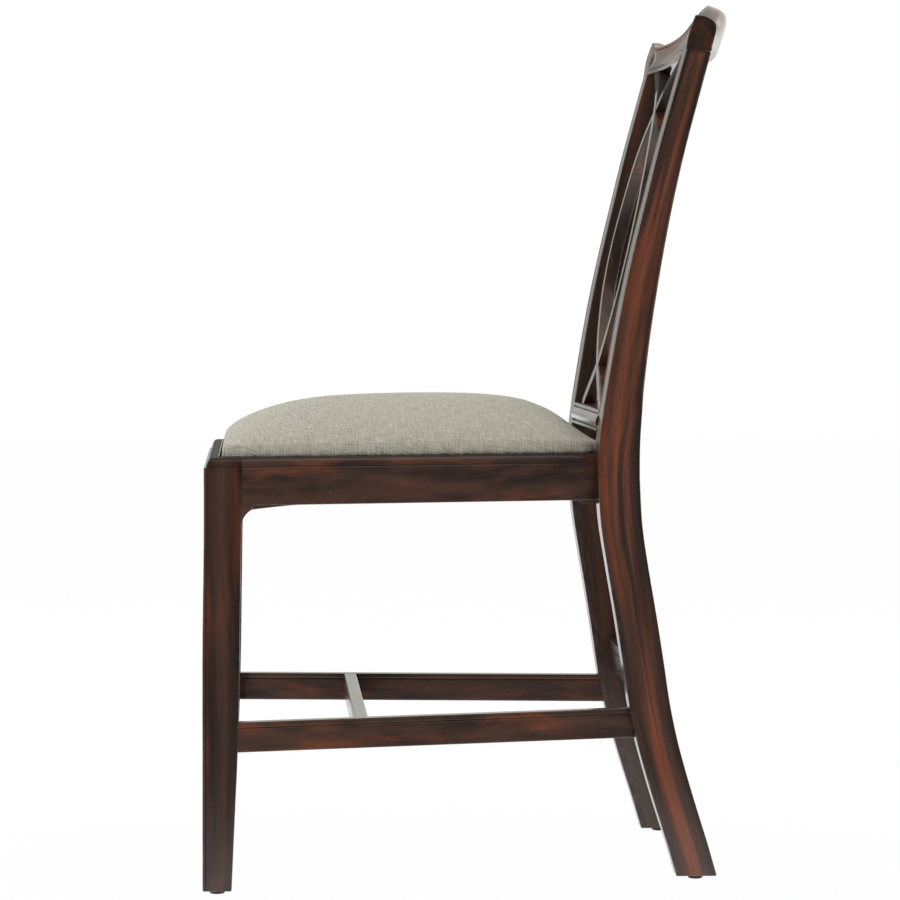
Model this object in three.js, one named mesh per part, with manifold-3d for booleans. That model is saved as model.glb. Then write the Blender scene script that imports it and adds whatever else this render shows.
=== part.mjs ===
// A dining side chair with a low arched crest rail, an open back of two interlaced ribs,
// straight front legs, swept rear legs, a stretcher frame and a drop-in upholstered seat.
// Millimetres, +Z up. The sitter faces -Y, so left is +X. The chair stands on Z = 0.
import * as THREE from "three";
import { mergeVertices } from "three/addons/utils/BufferGeometryUtils.js";
import Module from "manifold-3d";

const wasm = await Module();
wasm.setup();

// Clearances and cuts
const jointGap = 0.3;
const overrun = 5;

// Outside sizes of the chair
const frontWidth = 510;
const rearFootWidth = 370;
const rearSeatWidth = 372;
const backTopWidth = 404;

// Heights above the floor
const glideHeight = 4;
const railTop = 459.5;
const railHeight = 50;
const seatLevel = 434;
const backHeight = 926;
const stretcherTop = 182.5;
const rearStretcherTop = 229;

// Front legs
const frontLegWidth = 40;
const frontFootWidth = 30.5;
const legBeadRadius = 2.6;
const legQuirk = 1.4;
const legEase = 1.2;
const frontFootForward = 2.45;
const legTaperShares = [
  [0, 0], [0.16, 0.34], [0.32, 0.68], [0.5, 0.87], [0.6, 0.9], [0.69, 0.9], [0.78, 0.9], [0.89, 1], [1, 1],
];
const legForwardShares = [
  [0, 1], [0.16, 0.96], [0.32, 0.88], [0.5, 0.82], [0.6, 0.67], [0.69, 0.4], [0.78, 0.14], [0.89, 0], [1, 0],
];

// Rear legs: how far the front edge runs back from the seat, below and above it
const seatDepth = 420;
const rearLegDepth = 45.2;
const footSweep = 86.5;
const backSweep = 102.7;
const rearLegThickness = 39;
const backEase = 6;
const frontEase = 3.5;
const frontEaseRun = 246;
const reedWidth = 8;
const reedDepth = 1.8;
const reedRunOut = 8;
const lowerSweepShares = [
  [0, 0.994], [0.084, 0.871], [0.177, 0.724], [0.258, 0.603], [0.34, 0.492], [0.433, 0.395],
  [0.537, 0.317], [0.653, 0.226], [0.781, 0.118], [0.886, 0.039], [1, 0],
];
const upperSweepShares = [
  [0, 0], [0.073, 0.011], [0.148, 0.053], [0.226, 0.113], [0.317, 0.186], [0.419, 0.28],
  [0.52, 0.388], [0.622, 0.507], [0.724, 0.628], [0.825, 0.76], [0.921, 0.888], [1, 1],
];
const stileDepthShares = [
  [0, 1], [0.073, 0.976], [0.148, 0.926], [0.226, 0.867], [0.317, 0.82], [0.419, 0.773],
  [0.52, 0.715], [0.622, 0.662], [0.724, 0.64], [0.825, 0.627], [1, 0.599],
];
const legDepthShares = [[0, 0.967], [0.2, 0.978], [0.57, 0.98], [0.8, 0.978], [0.92, 0.991], [1, 1]];
const legThicknessShares = [[0, 0.718], [0.57, 0.744], [0.8, 0.8], [0.92, 0.92], [1, 1]];
const stileThicknessShares = [
  [0, 1], [0.13, 1.115], [0.34, 1.115], [0.54, 1.05], [0.745, 0.95], [0.92, 0.872], [1, 0.86],
];
const stileFlareShares = [[0, 0], [0.15, 0.3], [0.35, 0.48], [0.54, 0.54], [0.75, 0.72], [0.92, 0.93], [1, 1]];
const upperStationShares = [0.073, 0.148, 0.165, 0.18, 0.26, 0.34, 0.43, 0.52, 0.62, 0.72, 0.82];

// Seat rails
const railThickness = 24;
const lipWidth = 16;
const rabbetDepth = 12.8;
const mouldingHeight = 10.5;
const mouldingStep = 2.5;
const mouldingReach = 9.5;
const mouldingSteps = 5;
const railInsetAtRear = 15.6;
const bracketDrop = 18.5;
const bracketShoulder = 4.5;
const bracketCurve = 10;
const bracketRun = 62;
const bracketCurveShares = [[1, 0], [0.62, 0.3], [0.4, 0.65]];
const bracketTailShares = [[1, 0], [0.4, 0.45], [0, 1]];
const backRailThickness = 30;
const backRailInset = 11;

// Tenons of the seat frame
const tenonThickness = 8;
const tenonLength = 20;
const tenonSide = 8;
const tenonRise = 7;
const tenonHeight = 26;
const backTenonSetback = 14;
const backTenonLength = 15;

// Stretchers
const stretcherHeight = 31.5;
const stretcherThickness = 16;
const stretcherReveal = 1;
const stretcherRearReveal = 8.5;
const stretcherQuirkDrop = 6;
const stretcherQuirk = 1;
const stretcherEase = 1.5;
const crossHeight = 26;
const crossThickness = 14.5;
const crossPlace = 165.5;
const crossTenon = 8;
const rearStretcherHeight = 39;
const rearStretcherThickness = 17;
const rearStretcherSetback = 18;
const rearStretcherQuirkDrop = 12;
const rearStretcherShoulder = 9.75;
const stretcherTenonThickness = 6;
const stretcherTenonLength = 14;
const stretcherTenonShoulder = 6;
const stretcherEndSteps = 4;

// Lower back rail
const lowerRailGap = 22.5;
const lowerRailHeight = 24;
const lowerRailDepth = 22;
const lowerRailProud = 0.5;
const lowerRailTenonSetback = 9;
const lowerRailProfileShares = [
  [0, 0.1], [0.03, 0], [0.13, 0], [0.17, 0.12], [0.2, 0.12], [0.21, 0.05], [0.3, -0.04], [0.45, -0.09],
  [0.6, -0.08], [0.74, 0], [0.78, 0.05], [0.79, 0.13], [0.83, 0.13], [0.86, 0], [0.97, 0], [1, 0.1],
];

// Crest rail: its rise and its backward bow at the middle, over the line of its ends
const crestThickness = 27;
const crestEndHeight = 39;
const crestDip = 8.7;
const crestRise = 35;
const crestTopBow = 35.5;
const crestLipBow = 10;
const crestLipRise = 2.5;
const crestEndSwell = 0.07;
const crestStations = 24;
const crestRiseShares = [
  [0, 1], [0.04, 0.985], [0.1, 0.89], [0.17, 0.7], [0.25, 0.46],
  [0.35, 0.26], [0.5, 0.11], [0.65, 0.05], [0.825, 0.05], [0.92, 0.13], [1, 0.28],
];
const crestTopBowShares = [
  [0, 1], [0.04, 0.985], [0.1, 0.905], [0.17, 0.785], [0.25, 0.64],
  [0.45, 0.37], [0.65, 0.14], [0.825, 0], [0.92, -0.03], [1, -0.03],
];
const crestLipBowShares = [
  [0, 1], [0.04, 0.995], [0.225, 0.836], [0.45, 0.574], [0.65, 0.262], [0.825, 0], [1, 0],
];
const crestLipRiseShares = [[0, 1], [0.225, 0.48], [0.45, 0.2], [0.65, 0.1], [0.8, 0], [1, 0]];
const crestFaceShares = [
  [0, 0], [0.09, 0], [0.12, 0.07], [0.16, 0.03], [0.35, 0.055],
  [0.6, 0.06], [0.9, 0.02], [0.93, 0.05], [0.96, 0], [1, 0],
];
const crestMiddleBackShares = [
  [1.06, 0.25], [1.076, 0.56], [1.006, 0.912], [0.835, 1.097], [0.58, 1.245], [0.35, 1.18], [0.2, 0.98],
];
const crestEndBackShares = [
  [1.05, 0.36], [1, 0.7], [0.9, 0.9], [0.75, 0.96], [0.5, 0.96], [0.26, 0.96], [0.18, 0.96],
];
const crestEndBlendShares = [[0, 0], [0.5, 0.25], [1, 1]];
const stileTenonLength = 22;
const stileTenonInset = 9;

// Interlaced ribs of the back
const ribWidth = 13;
const ribDepth = 13.8;
const ribSetback = 4.5;
const ribSwing = 98;
const ribStations = 44;
const ribSlopeStep = 3.25;
const ribTrim = 80;
const ribStationBias = 1.6;
const ribTenonLength = 8;
const ribTenonSetback = 5;
const ribTenonShare = 0.6;
const ribSetbackShares = [[0, 1], [0.3, 0.87], [0.75, 0.78], [1, 1.3]];
const ribPathShares = [
  [-0.07, 2.1], [0, 1.24], [0.035, 0.81], [0.07, 0.45], [0.105, 0.19], [0.14, -0.02], [0.21, -0.37],
  [0.29, -0.64], [0.37, -0.81], [0.46, -0.94], [0.56, -0.985], [0.66, -0.87], [0.77, -0.54],
  [0.83, -0.27], [0.885, 0.04], [0.94, 0.5], [1, 1], [1.05, 1.4],
];

// Seat: plywood board, foam, fabric cover and dust cloth
const boardThickness = 12;
const seatRoom = 2;
const coverThickness = 1.2;
const cushionEdge = 10.5;
const cushionDome = 49.5;
const cushionCornerRadius = 9;
const cushionCornerSteps = 5;
const cushionEdgeSteps = 8;
const cushionCentre = 228;
const cushionRingShares = [1, 0.985, 0.95, 0.9, 0.84, 0.76, 0.65, 0.5, 0.3, 0.12];
const cushionAcrossShares = [[0, 1], [0.25, 0.955], [0.5, 0.81], [0.75, 0.53], [0.9, 0.27], [1, 0]];
const cushionAlongShares = [
  [0, 0], [0.01, 0.16], [0.02, 0.25], [0.041, 0.375], [0.075, 0.515], [0.102, 0.605], [0.128, 0.68],
  [0.182, 0.8], [0.264, 0.91], [0.37, 0.97], [0.5, 1], [0.66, 0.99], [0.75, 0.93], [0.806, 0.85],
  [0.86, 0.695], [0.889, 0.595], [0.93, 0.395], [0.96, 0.25], [0.985, 0.12], [1, 0],
];
const dustClothThickness = 0.8;
const dustClothMargin = 1;

// Corner blocks and fasteners
const blockLeg = 76;
const frontBlockLift = 1;
const rearBlockDrop = 5.5;
const rearBlockSideShare = 0.8;
const rearBlockCrossShare = 0.85;
const screwRadius = 2;
const screwHeadRadius = 4;
const screwHeadHeight = 2.6;
const screwTipLength = 5;
const screwBite = 12;
const screwRecess = 6;
const screwSides = 12;
const driverRun = 15;
const screwPlaceShare = 0.62;
const seatScrewBite = 8;
const seatScrewPlaceShare = 0.3;
const glideRadius = 8.2;
const glideEase = 1.2;
const glideNailRadius = 1.4;
const glideNailLength = 16;
const glideSides = 20;

// Materials
const mahogany = { color: 0x4a2a20, roughness: 0.4, metalness: 0 };
const secondaryWood = { color: 0x8a6a48, roughness: 0.7, metalness: 0 };
const plywood = { color: 0xb8976a, roughness: 0.75, metalness: 0 };
const linen = { color: 0xa9a592, roughness: 0.95, metalness: 0 };
const foam = { color: 0xe6dcc0, roughness: 0.95, metalness: 0 };
const darkCloth = { color: 0x1c1b1a, roughness: 0.95, metalness: 0 };
const steel = { color: 0x77746e, roughness: 0.4, metalness: 0.9 };
const blackNylon = { color: 0x141414, roughness: 0.5, metalness: 0 };

// Sizes worked out from those above
const frontHalf = frontWidth / 2;
const railBottom = railTop - railHeight;
const rabbetFloor = railTop - rabbetDepth;
const boardBottom = rabbetFloor + jointGap;
const boardTop = boardBottom + boardThickness;
const lowerRailBottom = railTop + lowerRailGap;
const lowerRailTop = lowerRailBottom + lowerRailHeight;
const shoulderLevel = backHeight - crestEndHeight;
const crestDipLevel = backHeight - crestDip;
const stretcherBottom = stretcherTop - stretcherHeight;
const rearStretcherBottom = rearStretcherTop - rearStretcherHeight;
const blockTop = rabbetFloor - jointGap;
const railRearHalf = rearSeatWidth / 2 - railInsetAtRear;
const tenonBottom = railBottom + tenonRise;
const tenonTop = tenonBottom + tenonHeight;
const backRailFront = seatDepth + backRailInset;
const backRailBack = backRailFront + backRailThickness;

// Reads a table of shares smoothly: each row is a place, then the share there
function readShares(rows, place) {
  const last = rows.length - 1;
  let index = 0;
  while (index < last - 1 && rows[index + 1][0] < place) {
    index += 1;
  }
  const slope = (at) => {
    const low = rows[Math.max(at - 1, 0)];
    const high = rows[Math.min(at + 1, last)];
    return (high[1] - low[1]) / (high[0] - low[0]);
  };
  const [start, end] = [rows[index], rows[index + 1]];
  const run = end[0] - start[0];
  const t = clampShare((place - start[0]) / run);
  const [t2, t3] = [t * t, t * t * t];
  return (
    (2 * t3 - 3 * t2 + 1) * start[1] +
    (t3 - 2 * t2 + t) * run * slope(index) +
    (3 * t2 - 2 * t3) * end[1] +
    (t3 - t2) * run * slope(index + 1)
  );
}

function mix(low, high, share) {
  return low + (high - low) * share;
}

function clampShare(share) {
  return Math.min(Math.max(share, 0), 1);
}

// Solids
function toSolid(geometry) {
  const bare = geometry.clone();
  bare.deleteAttribute("normal");
  bare.deleteAttribute("uv");
  const merged = mergeVertices(bare);
  const vertProperties = new Float32Array(merged.attributes.position.array);
  const triVerts = new Uint32Array(merged.index.array);
  return new wasm.Manifold(new wasm.Mesh({ numProp: 3, vertProperties, triVerts }));
}

function toGeometry(solid) {
  const mesh = solid.getMesh();
  const geometry = new THREE.BufferGeometry();
  geometry.setAttribute("position", new THREE.Float32BufferAttribute(Array.from(mesh.vertProperties), 3));
  geometry.setIndex(Array.from(mesh.triVerts));
  geometry.computeVertexNormals();
  return geometry;
}

// An outline drawn in the plane across the axis: Y and Z for x, Z and X for y, X and Y for z
function prism(points, axis, from, to) {
  const shape = new THREE.Shape(points.map(([a, b]) => new THREE.Vector2(a, b)));
  const geometry = new THREE.ExtrudeGeometry(shape, { depth: to - from, bevelEnabled: false });
  geometry.translate(0, 0, from);
  const [x, y, z] = [new THREE.Vector3(1, 0, 0), new THREE.Vector3(0, 1, 0), new THREE.Vector3(0, 0, 1)];
  const turn = new THREE.Matrix4();
  if (axis === "x") {
    turn.makeBasis(y, z, x);
  }
  if (axis === "y") {
    turn.makeBasis(z, x, y);
  }
  geometry.applyMatrix4(turn);
  return toSolid(geometry);
}

function block(low, high) {
  const size = high.map((value, index) => value - low[index]);
  const geometry = new THREE.BoxGeometry(...size);
  geometry.translate(...low.map((value, index) => value + size[index] / 2));
  return toSolid(geometry);
}

// The triangles of a ring's cap, turned the way the ring runs
function capTriangles(ring) {
  const normal = new THREE.Vector3();
  ring.forEach((point, index) => {
    normal.add(new THREE.Vector3().crossVectors(point, ring[(index + 1) % ring.length]));
  });
  normal.normalize();
  const side = Math.abs(normal.x) < Math.SQRT1_2 ? new THREE.Vector3(1, 0, 0) : new THREE.Vector3(0, 1, 0);
  const across = new THREE.Vector3().crossVectors(normal, side).normalize();
  const along = new THREE.Vector3().crossVectors(across, normal);
  const flat = ring.map((point) => new THREE.Vector2(point.dot(along), point.dot(across)));
  return THREE.ShapeUtils.triangulateShape(flat, []).map(([a, b, c]) => {
    const turn = new THREE.Vector3()
      .crossVectors(ring[b].clone().sub(ring[a]), ring[c].clone().sub(ring[a]))
      .dot(normal);
    return turn > 0 ? [a, b, c] : [a, c, b];
  });
}

// A closed solid through rings of equal numbers of points, with flat or fanned ends
function loft(rings, fanned = false) {
  const count = rings[0].length;
  const last = (rings.length - 1) * count;
  const points = rings.flat();
  const indices = [];
  for (let ring = 0; ring < rings.length - 1; ring += 1) {
    for (let index = 0; index < count; index += 1) {
      const a = ring * count + index;
      const b = ring * count + ((index + 1) % count);
      indices.push(a, b, b + count, a, b + count, a + count);
    }
  }
  if (fanned) {
    const hub = points.length;
    [rings[0], rings[rings.length - 1]].forEach((ring) => {
      const middle = ring.reduce((sum, point) => sum.add(point), new THREE.Vector3());
      points.push(middle.divideScalar(count));
    });
    for (let index = 0; index < count; index += 1) {
      const next = (index + 1) % count;
      indices.push(hub, next, index, hub + 1, last + index, last + next);
    }
  } else {
    capTriangles(rings[0]).forEach(([a, b, c]) => indices.push(a, c, b));
    capTriangles(rings[rings.length - 1]).forEach(([a, b, c]) => indices.push(last + a, last + b, last + c));
  }
  const geometry = new THREE.BufferGeometry();
  geometry.setAttribute(
    "position",
    new THREE.Float32BufferAttribute(points.flatMap((point) => [point.x, point.y, point.z]), 3),
  );
  geometry.setIndex(indices);
  if (signedVolume(geometry) < 0) {
    const flipped = [];
    for (let index = 0; index < indices.length; index += 3) {
      flipped.push(indices[index], indices[index + 2], indices[index + 1]);
    }
    geometry.setIndex(flipped);
  }
  return toSolid(geometry);
}

function signedVolume(geometry) {
  const place = geometry.attributes.position;
  const corner = (index) => new THREE.Vector3().fromBufferAttribute(place, geometry.index.getX(index));
  let volume = 0;
  for (let index = 0; index < geometry.index.count; index += 3) {
    const cross = new THREE.Vector3().crossVectors(corner(index + 1), corner(index + 2));
    volume += corner(index).dot(cross);
  }
  return volume;
}

function cut(solid, ...cutters) {
  return cutters.reduce((rest, cutter) => rest.subtract(cutter), solid);
}

function join(solid, ...others) {
  return others.reduce((whole, other) => whole.add(other), solid);
}

const chair = new THREE.Group();

function addPiece(name, solid, finish) {
  const mesh = new THREE.Mesh(toGeometry(solid), new THREE.MeshStandardMaterial(finish));
  mesh.name = name;
  chair.add(mesh);
}

// The rear post at a height: its front and back edges, and its outer and inner faces
function postAt(height) {
  const below = (height - glideHeight) / (seatLevel - glideHeight);
  const above = (height - seatLevel) / (backHeight - seatLevel);
  const footHalf = rearFootWidth / 2;
  const seatHalf = rearSeatWidth / 2;
  if (height < seatLevel) {
    const front = seatDepth + footSweep * readShares(lowerSweepShares, below);
    const back = front + rearLegDepth * readShares(legDepthShares, below);
    const outer = mix(footHalf, seatHalf, below);
    const inner = outer - rearLegThickness * readShares(legThicknessShares, below);
    return { front, back, outer, inner };
  }
  const front = seatDepth + backSweep * readShares(upperSweepShares, above);
  const back = front + rearLegDepth * readShares(stileDepthShares, above);
  const outer = mix(seatHalf, backTopWidth / 2, readShares(stileFlareShares, above));
  const inner = outer - rearLegThickness * readShares(stileThicknessShares, above);
  return { front, back, outer, inner };
}

// Heights from low to high that a sloping end or face follows the post at
function heightsBetween(low, high, steps) {
  return Array.from({ length: steps + 1 }, (unused, index) => mix(low, high, index / steps));
}

// The outer face of a side rail, seen from above
function railOuterAt(depth) {
  return mix(frontHalf, railRearHalf, (depth - frontLegWidth) / (seatDepth - frontLegWidth));
}

// The moulded edge of the seat frame: distance in from the face, and height
function mouldedEdge() {
  const low = railTop - mouldingHeight;
  const points = [[0, low], [mouldingStep, low]];
  for (let step = 1; step <= mouldingSteps; step += 1) {
    const angle = (step / mouldingSteps) * (Math.PI / 2);
    points.push([
      mouldingStep + (mouldingReach - mouldingStep) * (1 - Math.cos(angle)),
      low + mouldingHeight * Math.sin(angle),
    ]);
  }
  return points;
}

// Turned fasteners stand on their heads at the origin and point along +Z
function screwSolid(length) {
  const profile = [
    [0, 0],
    [screwHeadRadius, 0],
    [screwRadius, screwHeadHeight],
    [screwRadius, length - screwTipLength],
    [0, length],
  ];
  return new THREE.LatheGeometry(profile.map(([r, z]) => new THREE.Vector2(r, z)), screwSides);
}

function screwHole(length) {
  const profile = [
    [0, -driverRun],
    [screwHeadRadius + jointGap, -driverRun],
    [screwHeadRadius + jointGap, jointGap],
    [screwRadius + jointGap, screwHeadHeight + jointGap],
    [screwRadius + jointGap, length + jointGap],
    [0, length + jointGap],
  ];
  return new THREE.LatheGeometry(profile.map(([r, z]) => new THREE.Vector2(r, z)), screwSides);
}

// Turns a fastener's own axis to the wanted direction and moves its head to its seat
function placeTurned(geometry, seat, direction) {
  const turn = new THREE.Quaternion().setFromUnitVectors(
    new THREE.Vector3(0, 1, 0),
    new THREE.Vector3(...direction),
  );
  return toSolid(geometry.clone().applyQuaternion(turn).translate(...seat));
}

// Front legs: how far they stand forward of the seat frame at a height
function legForwardAt(height) {
  const share = (height - glideHeight) / (railTop - glideHeight);
  return frontFootForward * readShares(legForwardShares, share);
}

function frontLegRing(height, side) {
  const share = (height - glideHeight) / (railTop - glideHeight);
  const forward = legForwardAt(height);
  const width = mix(frontFootWidth, frontLegWidth, readShares(legTaperShares, share));
  const bead = legBeadRadius;
  const near = bead * (1 - Math.SQRT1_2);
  const far = bead * (1 + Math.SQRT1_2);
  const ring = [
    [width, legEase],
    [width - legEase, 0],
    [far + legQuirk, 0],
    [far, near],
    [bead, 0],
    [near, near],
    [0, bead],
    [near, far],
    [0, far + legQuirk],
    [0, width - legEase],
    [legEase, width],
    [width - legEase, width],
    [width, width - legEase],
  ];
  return ring.map(
    ([inward, back]) => new THREE.Vector3(side * (frontHalf - inward), back - forward, height),
  );
}

function mouldedEdgeLimits(side) {
  const reach = frontLegWidth + overrun;
  const edge = mouldedEdge();
  const low = -overrun;
  const frontOutline = [[low, low], ...edge, [reach, railTop], [reach, low]];
  const sideOutline = [[0, low], ...edge, [reach, railTop], [reach, low]].map(([inward, height]) => [
    height,
    side * (frontHalf - inward),
  ]);
  const front = prism(frontOutline, "x", -frontHalf - overrun, frontHalf + overrun);
  const flank = prism(sideOutline, "y", -overrun, reach);
  return front.intersect(flank);
}

function frontLeg(side) {
  const rings = legTaperShares.map(([share]) => frontLegRing(mix(glideHeight, railTop, share), side));
  const leg = loft(rings).intersect(mouldedEdgeLimits(side));
  const rabbetLow = [frontHalf - frontLegWidth - overrun, lipWidth, rabbetFloor];
  const rabbetHigh = [frontHalf - lipWidth, frontLegWidth + overrun, railTop + overrun];
  return cut(
    leg,
    sidedBox(side, rabbetLow, rabbetHigh, 0),
    frontRailTenon(side, jointGap),
    sideRailTenon(side, "front", jointGap),
    stretcherTenon(side, "front", jointGap),
    glideHole(side, "front"),
  );
}

// Rear legs
function rearLegRing(height, side) {
  const post = postAt(height);
  const rounded = clampShare((height - lowerRailTop) / lowerRailHeight);
  const reeded = clampShare((height - lowerRailTop) / reedRunOut);
  const easedFront = clampShare((seatLevel - height) / frontEaseRun);
  const back = mix(legEase, backEase, rounded);
  const front = mix(legEase, frontEase, easedFront);
  const bed = reedDepth * reeded;
  const width = post.outer - post.inner;
  const depth = post.back - post.front;
  const softBack = back * (1 - Math.SQRT1_2);
  const ring = [
    [0, front],
    [front, 0],
    [reedWidth - legEase, 0],
    [reedWidth, bed],
    [width - reedWidth, bed],
    [width - reedWidth + legEase, 0],
    [width - legEase, 0],
    [width, legEase],
    [width, depth - legEase],
    [width - legEase, depth],
    [back, depth],
    [softBack, depth - softBack],
    [0, depth - back],
  ];
  return ring.map(
    ([inward, behind]) => new THREE.Vector3(side * (post.outer - inward), post.front + behind, height),
  );
}

function stileTenon(side, growth) {
  const rings = [shoulderLevel - overrun, shoulderLevel + stileTenonLength + growth].map((height) => {
    const post = postAt(Math.min(height, backHeight));
    const inset = stileTenonInset - growth;
    const [inner, outer] = [post.inner + inset, post.outer - inset];
    const [front, back] = [post.front + inset, post.back - inset];
    return [[inner, front], [outer, front], [outer, back], [inner, back]].map(
      ([x, y]) => new THREE.Vector3(side * x, y, height),
    );
  });
  return loft(rings);
}

function rearLeg(side) {
  const below = lowerSweepShares.map(([share]) => mix(glideHeight, seatLevel, share));
  const above = upperStationShares.map((share) => mix(seatLevel, backHeight, share));
  const heights = [...below, ...above, shoulderLevel];
  const leg = join(loft(heights.map((height) => rearLegRing(height, side))), stileTenon(side, 0));
  return cut(
    leg,
    sideRailTenon(side, "rear", jointGap),
    backRailTenon(side, jointGap),
    stretcherTenon(side, "rear", jointGap),
    rearStretcherTenon(side, jointGap),
    lowerRailTenon(side, jointGap),
    glideHole(side, "rear"),
  );
}

// Tenons of the seat frame, grown by a clearance where they cut their mortises
function boxTenon(low, high, growth) {
  return block(low.map((value) => value - growth), high.map((value) => value + growth));
}

function sidedBox(side, low, high, growth) {
  const [x0, x1] = side > 0 ? [low[0], high[0]] : [-high[0], -low[0]];
  return boxTenon([x0, low[1], low[2]], [x1, high[1], high[2]], growth);
}

function frontRailTenon(side, growth) {
  const root = frontHalf - frontLegWidth;
  const low = [root - overrun, tenonSide, tenonBottom];
  const high = [root + tenonLength, tenonSide + tenonThickness, tenonTop];
  return sidedBox(side, low, high, growth);
}

function sideRailTenon(side, end, growth) {
  if (end === "front") {
    const outer = frontHalf - tenonSide;
    const low = [outer - tenonThickness, frontLegWidth - tenonLength, tenonBottom];
    const high = [outer, frontLegWidth + overrun, tenonTop];
    return sidedBox(side, low, high, growth);
  }
  const outer = railRearHalf - tenonSide;
  const low = [outer - tenonThickness, seatDepth - overrun, tenonBottom];
  const high = [outer, seatDepth + tenonLength, tenonTop];
  return sidedBox(side, low, high, growth);
}

function backRailHalf() {
  return Math.min(postAt(railTop).inner, postAt(railBottom).inner) - jointGap;
}

function backRailTenon(side, growth) {
  const root = postAt(railBottom).inner;
  const front = backRailFront + backTenonSetback;
  const low = [backRailHalf() - overrun, front, tenonBottom];
  const high = [root + backTenonLength, front + tenonThickness, tenonTop];
  return sidedBox(side, low, high, growth);
}

// Seat rails
function frontRail() {
  const half = frontHalf - frontLegWidth - jointGap;
  const edge = mouldedEdge();
  const low = railBottom - bracketDrop;
  const section = [
    [0, low],
    ...edge,
    [lipWidth, railTop],
    [lipWidth, rabbetFloor],
    [railThickness, rabbetFloor],
    [railThickness, low],
  ];
  const bar = prism(section, "x", -half, half);
  const outline = [
    [railTop + overrun, -half - overrun],
    ...railBottomLine(-half, half, true),
    [railTop + overrun, half + overrun],
  ];
  const shaped = bar.intersect(prism(outline, "y", -overrun, railThickness + overrun));
  return cut(
    join(shaped, frontRailTenon(1, 0), frontRailTenon(-1, 0)),
    ...screwHoles("front", 1),
    ...screwHoles("front", -1),
  );
}

// Bottom line of a rail from one leg to the other, as height and place
function railBottomLine(from, to, bothEnds) {
  const curve = bracketCurveShares.map(([drop, run]) => [bracketDrop * drop, bracketCurve * run]);
  const tail = bracketTailShares.map(([drop, run]) => [
    bracketShoulder * drop,
    mix(bracketCurve, bracketRun, run),
  ]);
  const bracket = [...curve, ...tail];
  const first = bracket.map(([drop, run]) => [railBottom - drop, from + run]);
  const last = bothEnds
    ? bracket.map(([drop, run]) => [railBottom - drop, to - run]).reverse()
    : [[railBottom, to]];
  return [[first[0][0], from - overrun], ...first, ...last, [last[last.length - 1][0], to + overrun]];
}

function sideRail(side) {
  const from = frontLegWidth + jointGap;
  const to = seatDepth - jointGap;
  const low = railBottom - bracketDrop;
  const section = [
    [0, low],
    ...mouldedEdge(),
    [lipWidth, railTop],
    [lipWidth, rabbetFloor],
    [railThickness, rabbetFloor],
    [railThickness, low],
  ];
  const rings = [from, to].map((depth) =>
    section.map(([inward, height]) => new THREE.Vector3(side * (railOuterAt(depth) - inward), depth, height)),
  );
  const line = railBottomLine(from, to, false).map(([height, depth]) => [depth, height]);
  const outline = [...line, [to + overrun, railTop + overrun], [from - overrun, railTop + overrun]];
  const shaped = loft(rings).intersect(prism(outline, "x", -frontWidth, frontWidth));
  return cut(
    join(shaped, sideRailTenon(side, "front", 0), sideRailTenon(side, "rear", 0)),
    ...screwHoles("side", side),
  );
}

function backRail() {
  const half = backRailHalf();
  const lip = backRailLip();
  const section = [
    [backRailFront, railBottom],
    [backRailFront, rabbetFloor],
    [lip, rabbetFloor],
    [lip, railTop - legEase],
    [lip + legEase, railTop],
    [backRailBack - legEase, railTop],
    [backRailBack, railTop - legEase],
    [backRailBack, railBottom],
  ];
  const bar = prism(section, "x", -half, half);
  return cut(
    join(bar, backRailTenon(1, 0), backRailTenon(-1, 0)),
    ...screwHoles("back", 1),
    ...screwHoles("back", -1),
  );
}

function backRailLip() {
  return backRailFront + (railThickness - lipWidth) - seatRoom;
}

// Stretchers
function stretcherOuterAt(depth) {
  const frontOuter = frontHalf - stretcherReveal;
  const rearOuter = rearFootWidth / 2 - stretcherRearReveal;
  return mix(frontOuter, rearOuter, (depth - frontFootWidth) / (seatDepth + rearLegDepth - frontFootWidth));
}

function frontLegBackAt(height) {
  const share = (height - glideHeight) / (railTop - glideHeight);
  const width = mix(frontFootWidth, frontLegWidth, readShares(legTaperShares, share));
  return width - legForwardAt(height);
}

function stretcherTenon(side, end, growth) {
  const [bottom, top] = [stretcherBottom + stretcherTenonShoulder, stretcherTop - stretcherTenonShoulder];
  const inward = (stretcherThickness - stretcherTenonThickness) / 2;
  if (end === "front") {
    const root = frontLegBackAt(stretcherBottom);
    const outer = stretcherOuterAt(root) - inward;
    const low = [outer - stretcherTenonThickness, root - stretcherTenonLength, bottom];
    return sidedBox(side, low, [outer, root + overrun, top], growth);
  }
  const root = postAt(stretcherBottom).front;
  const outer = stretcherOuterAt(root) - inward;
  const low = [outer - stretcherTenonThickness, postAt(stretcherTop).front - overrun, bottom];
  return sidedBox(side, low, [outer, root + stretcherTenonLength, top], growth);
}

// A bar section with eased arrises and a quirk below its top, as inward distance and height
function barSection(thickness, low, top, quirkDrop) {
  const ease = stretcherEase;
  const quirk = stretcherQuirk;
  return [
    [0, low],
    [0, top - quirkDrop - quirk],
    [quirk, top - quirkDrop],
    [0, top - quirkDrop + quirk],
    [0, top - ease],
    [ease, top],
    [thickness - ease, top],
    [thickness, top - ease],
    [thickness, top - quirkDrop + quirk],
    [thickness - quirk, top - quirkDrop],
    [thickness, top - quirkDrop - quirk],
    [thickness, low],
  ];
}

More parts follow.
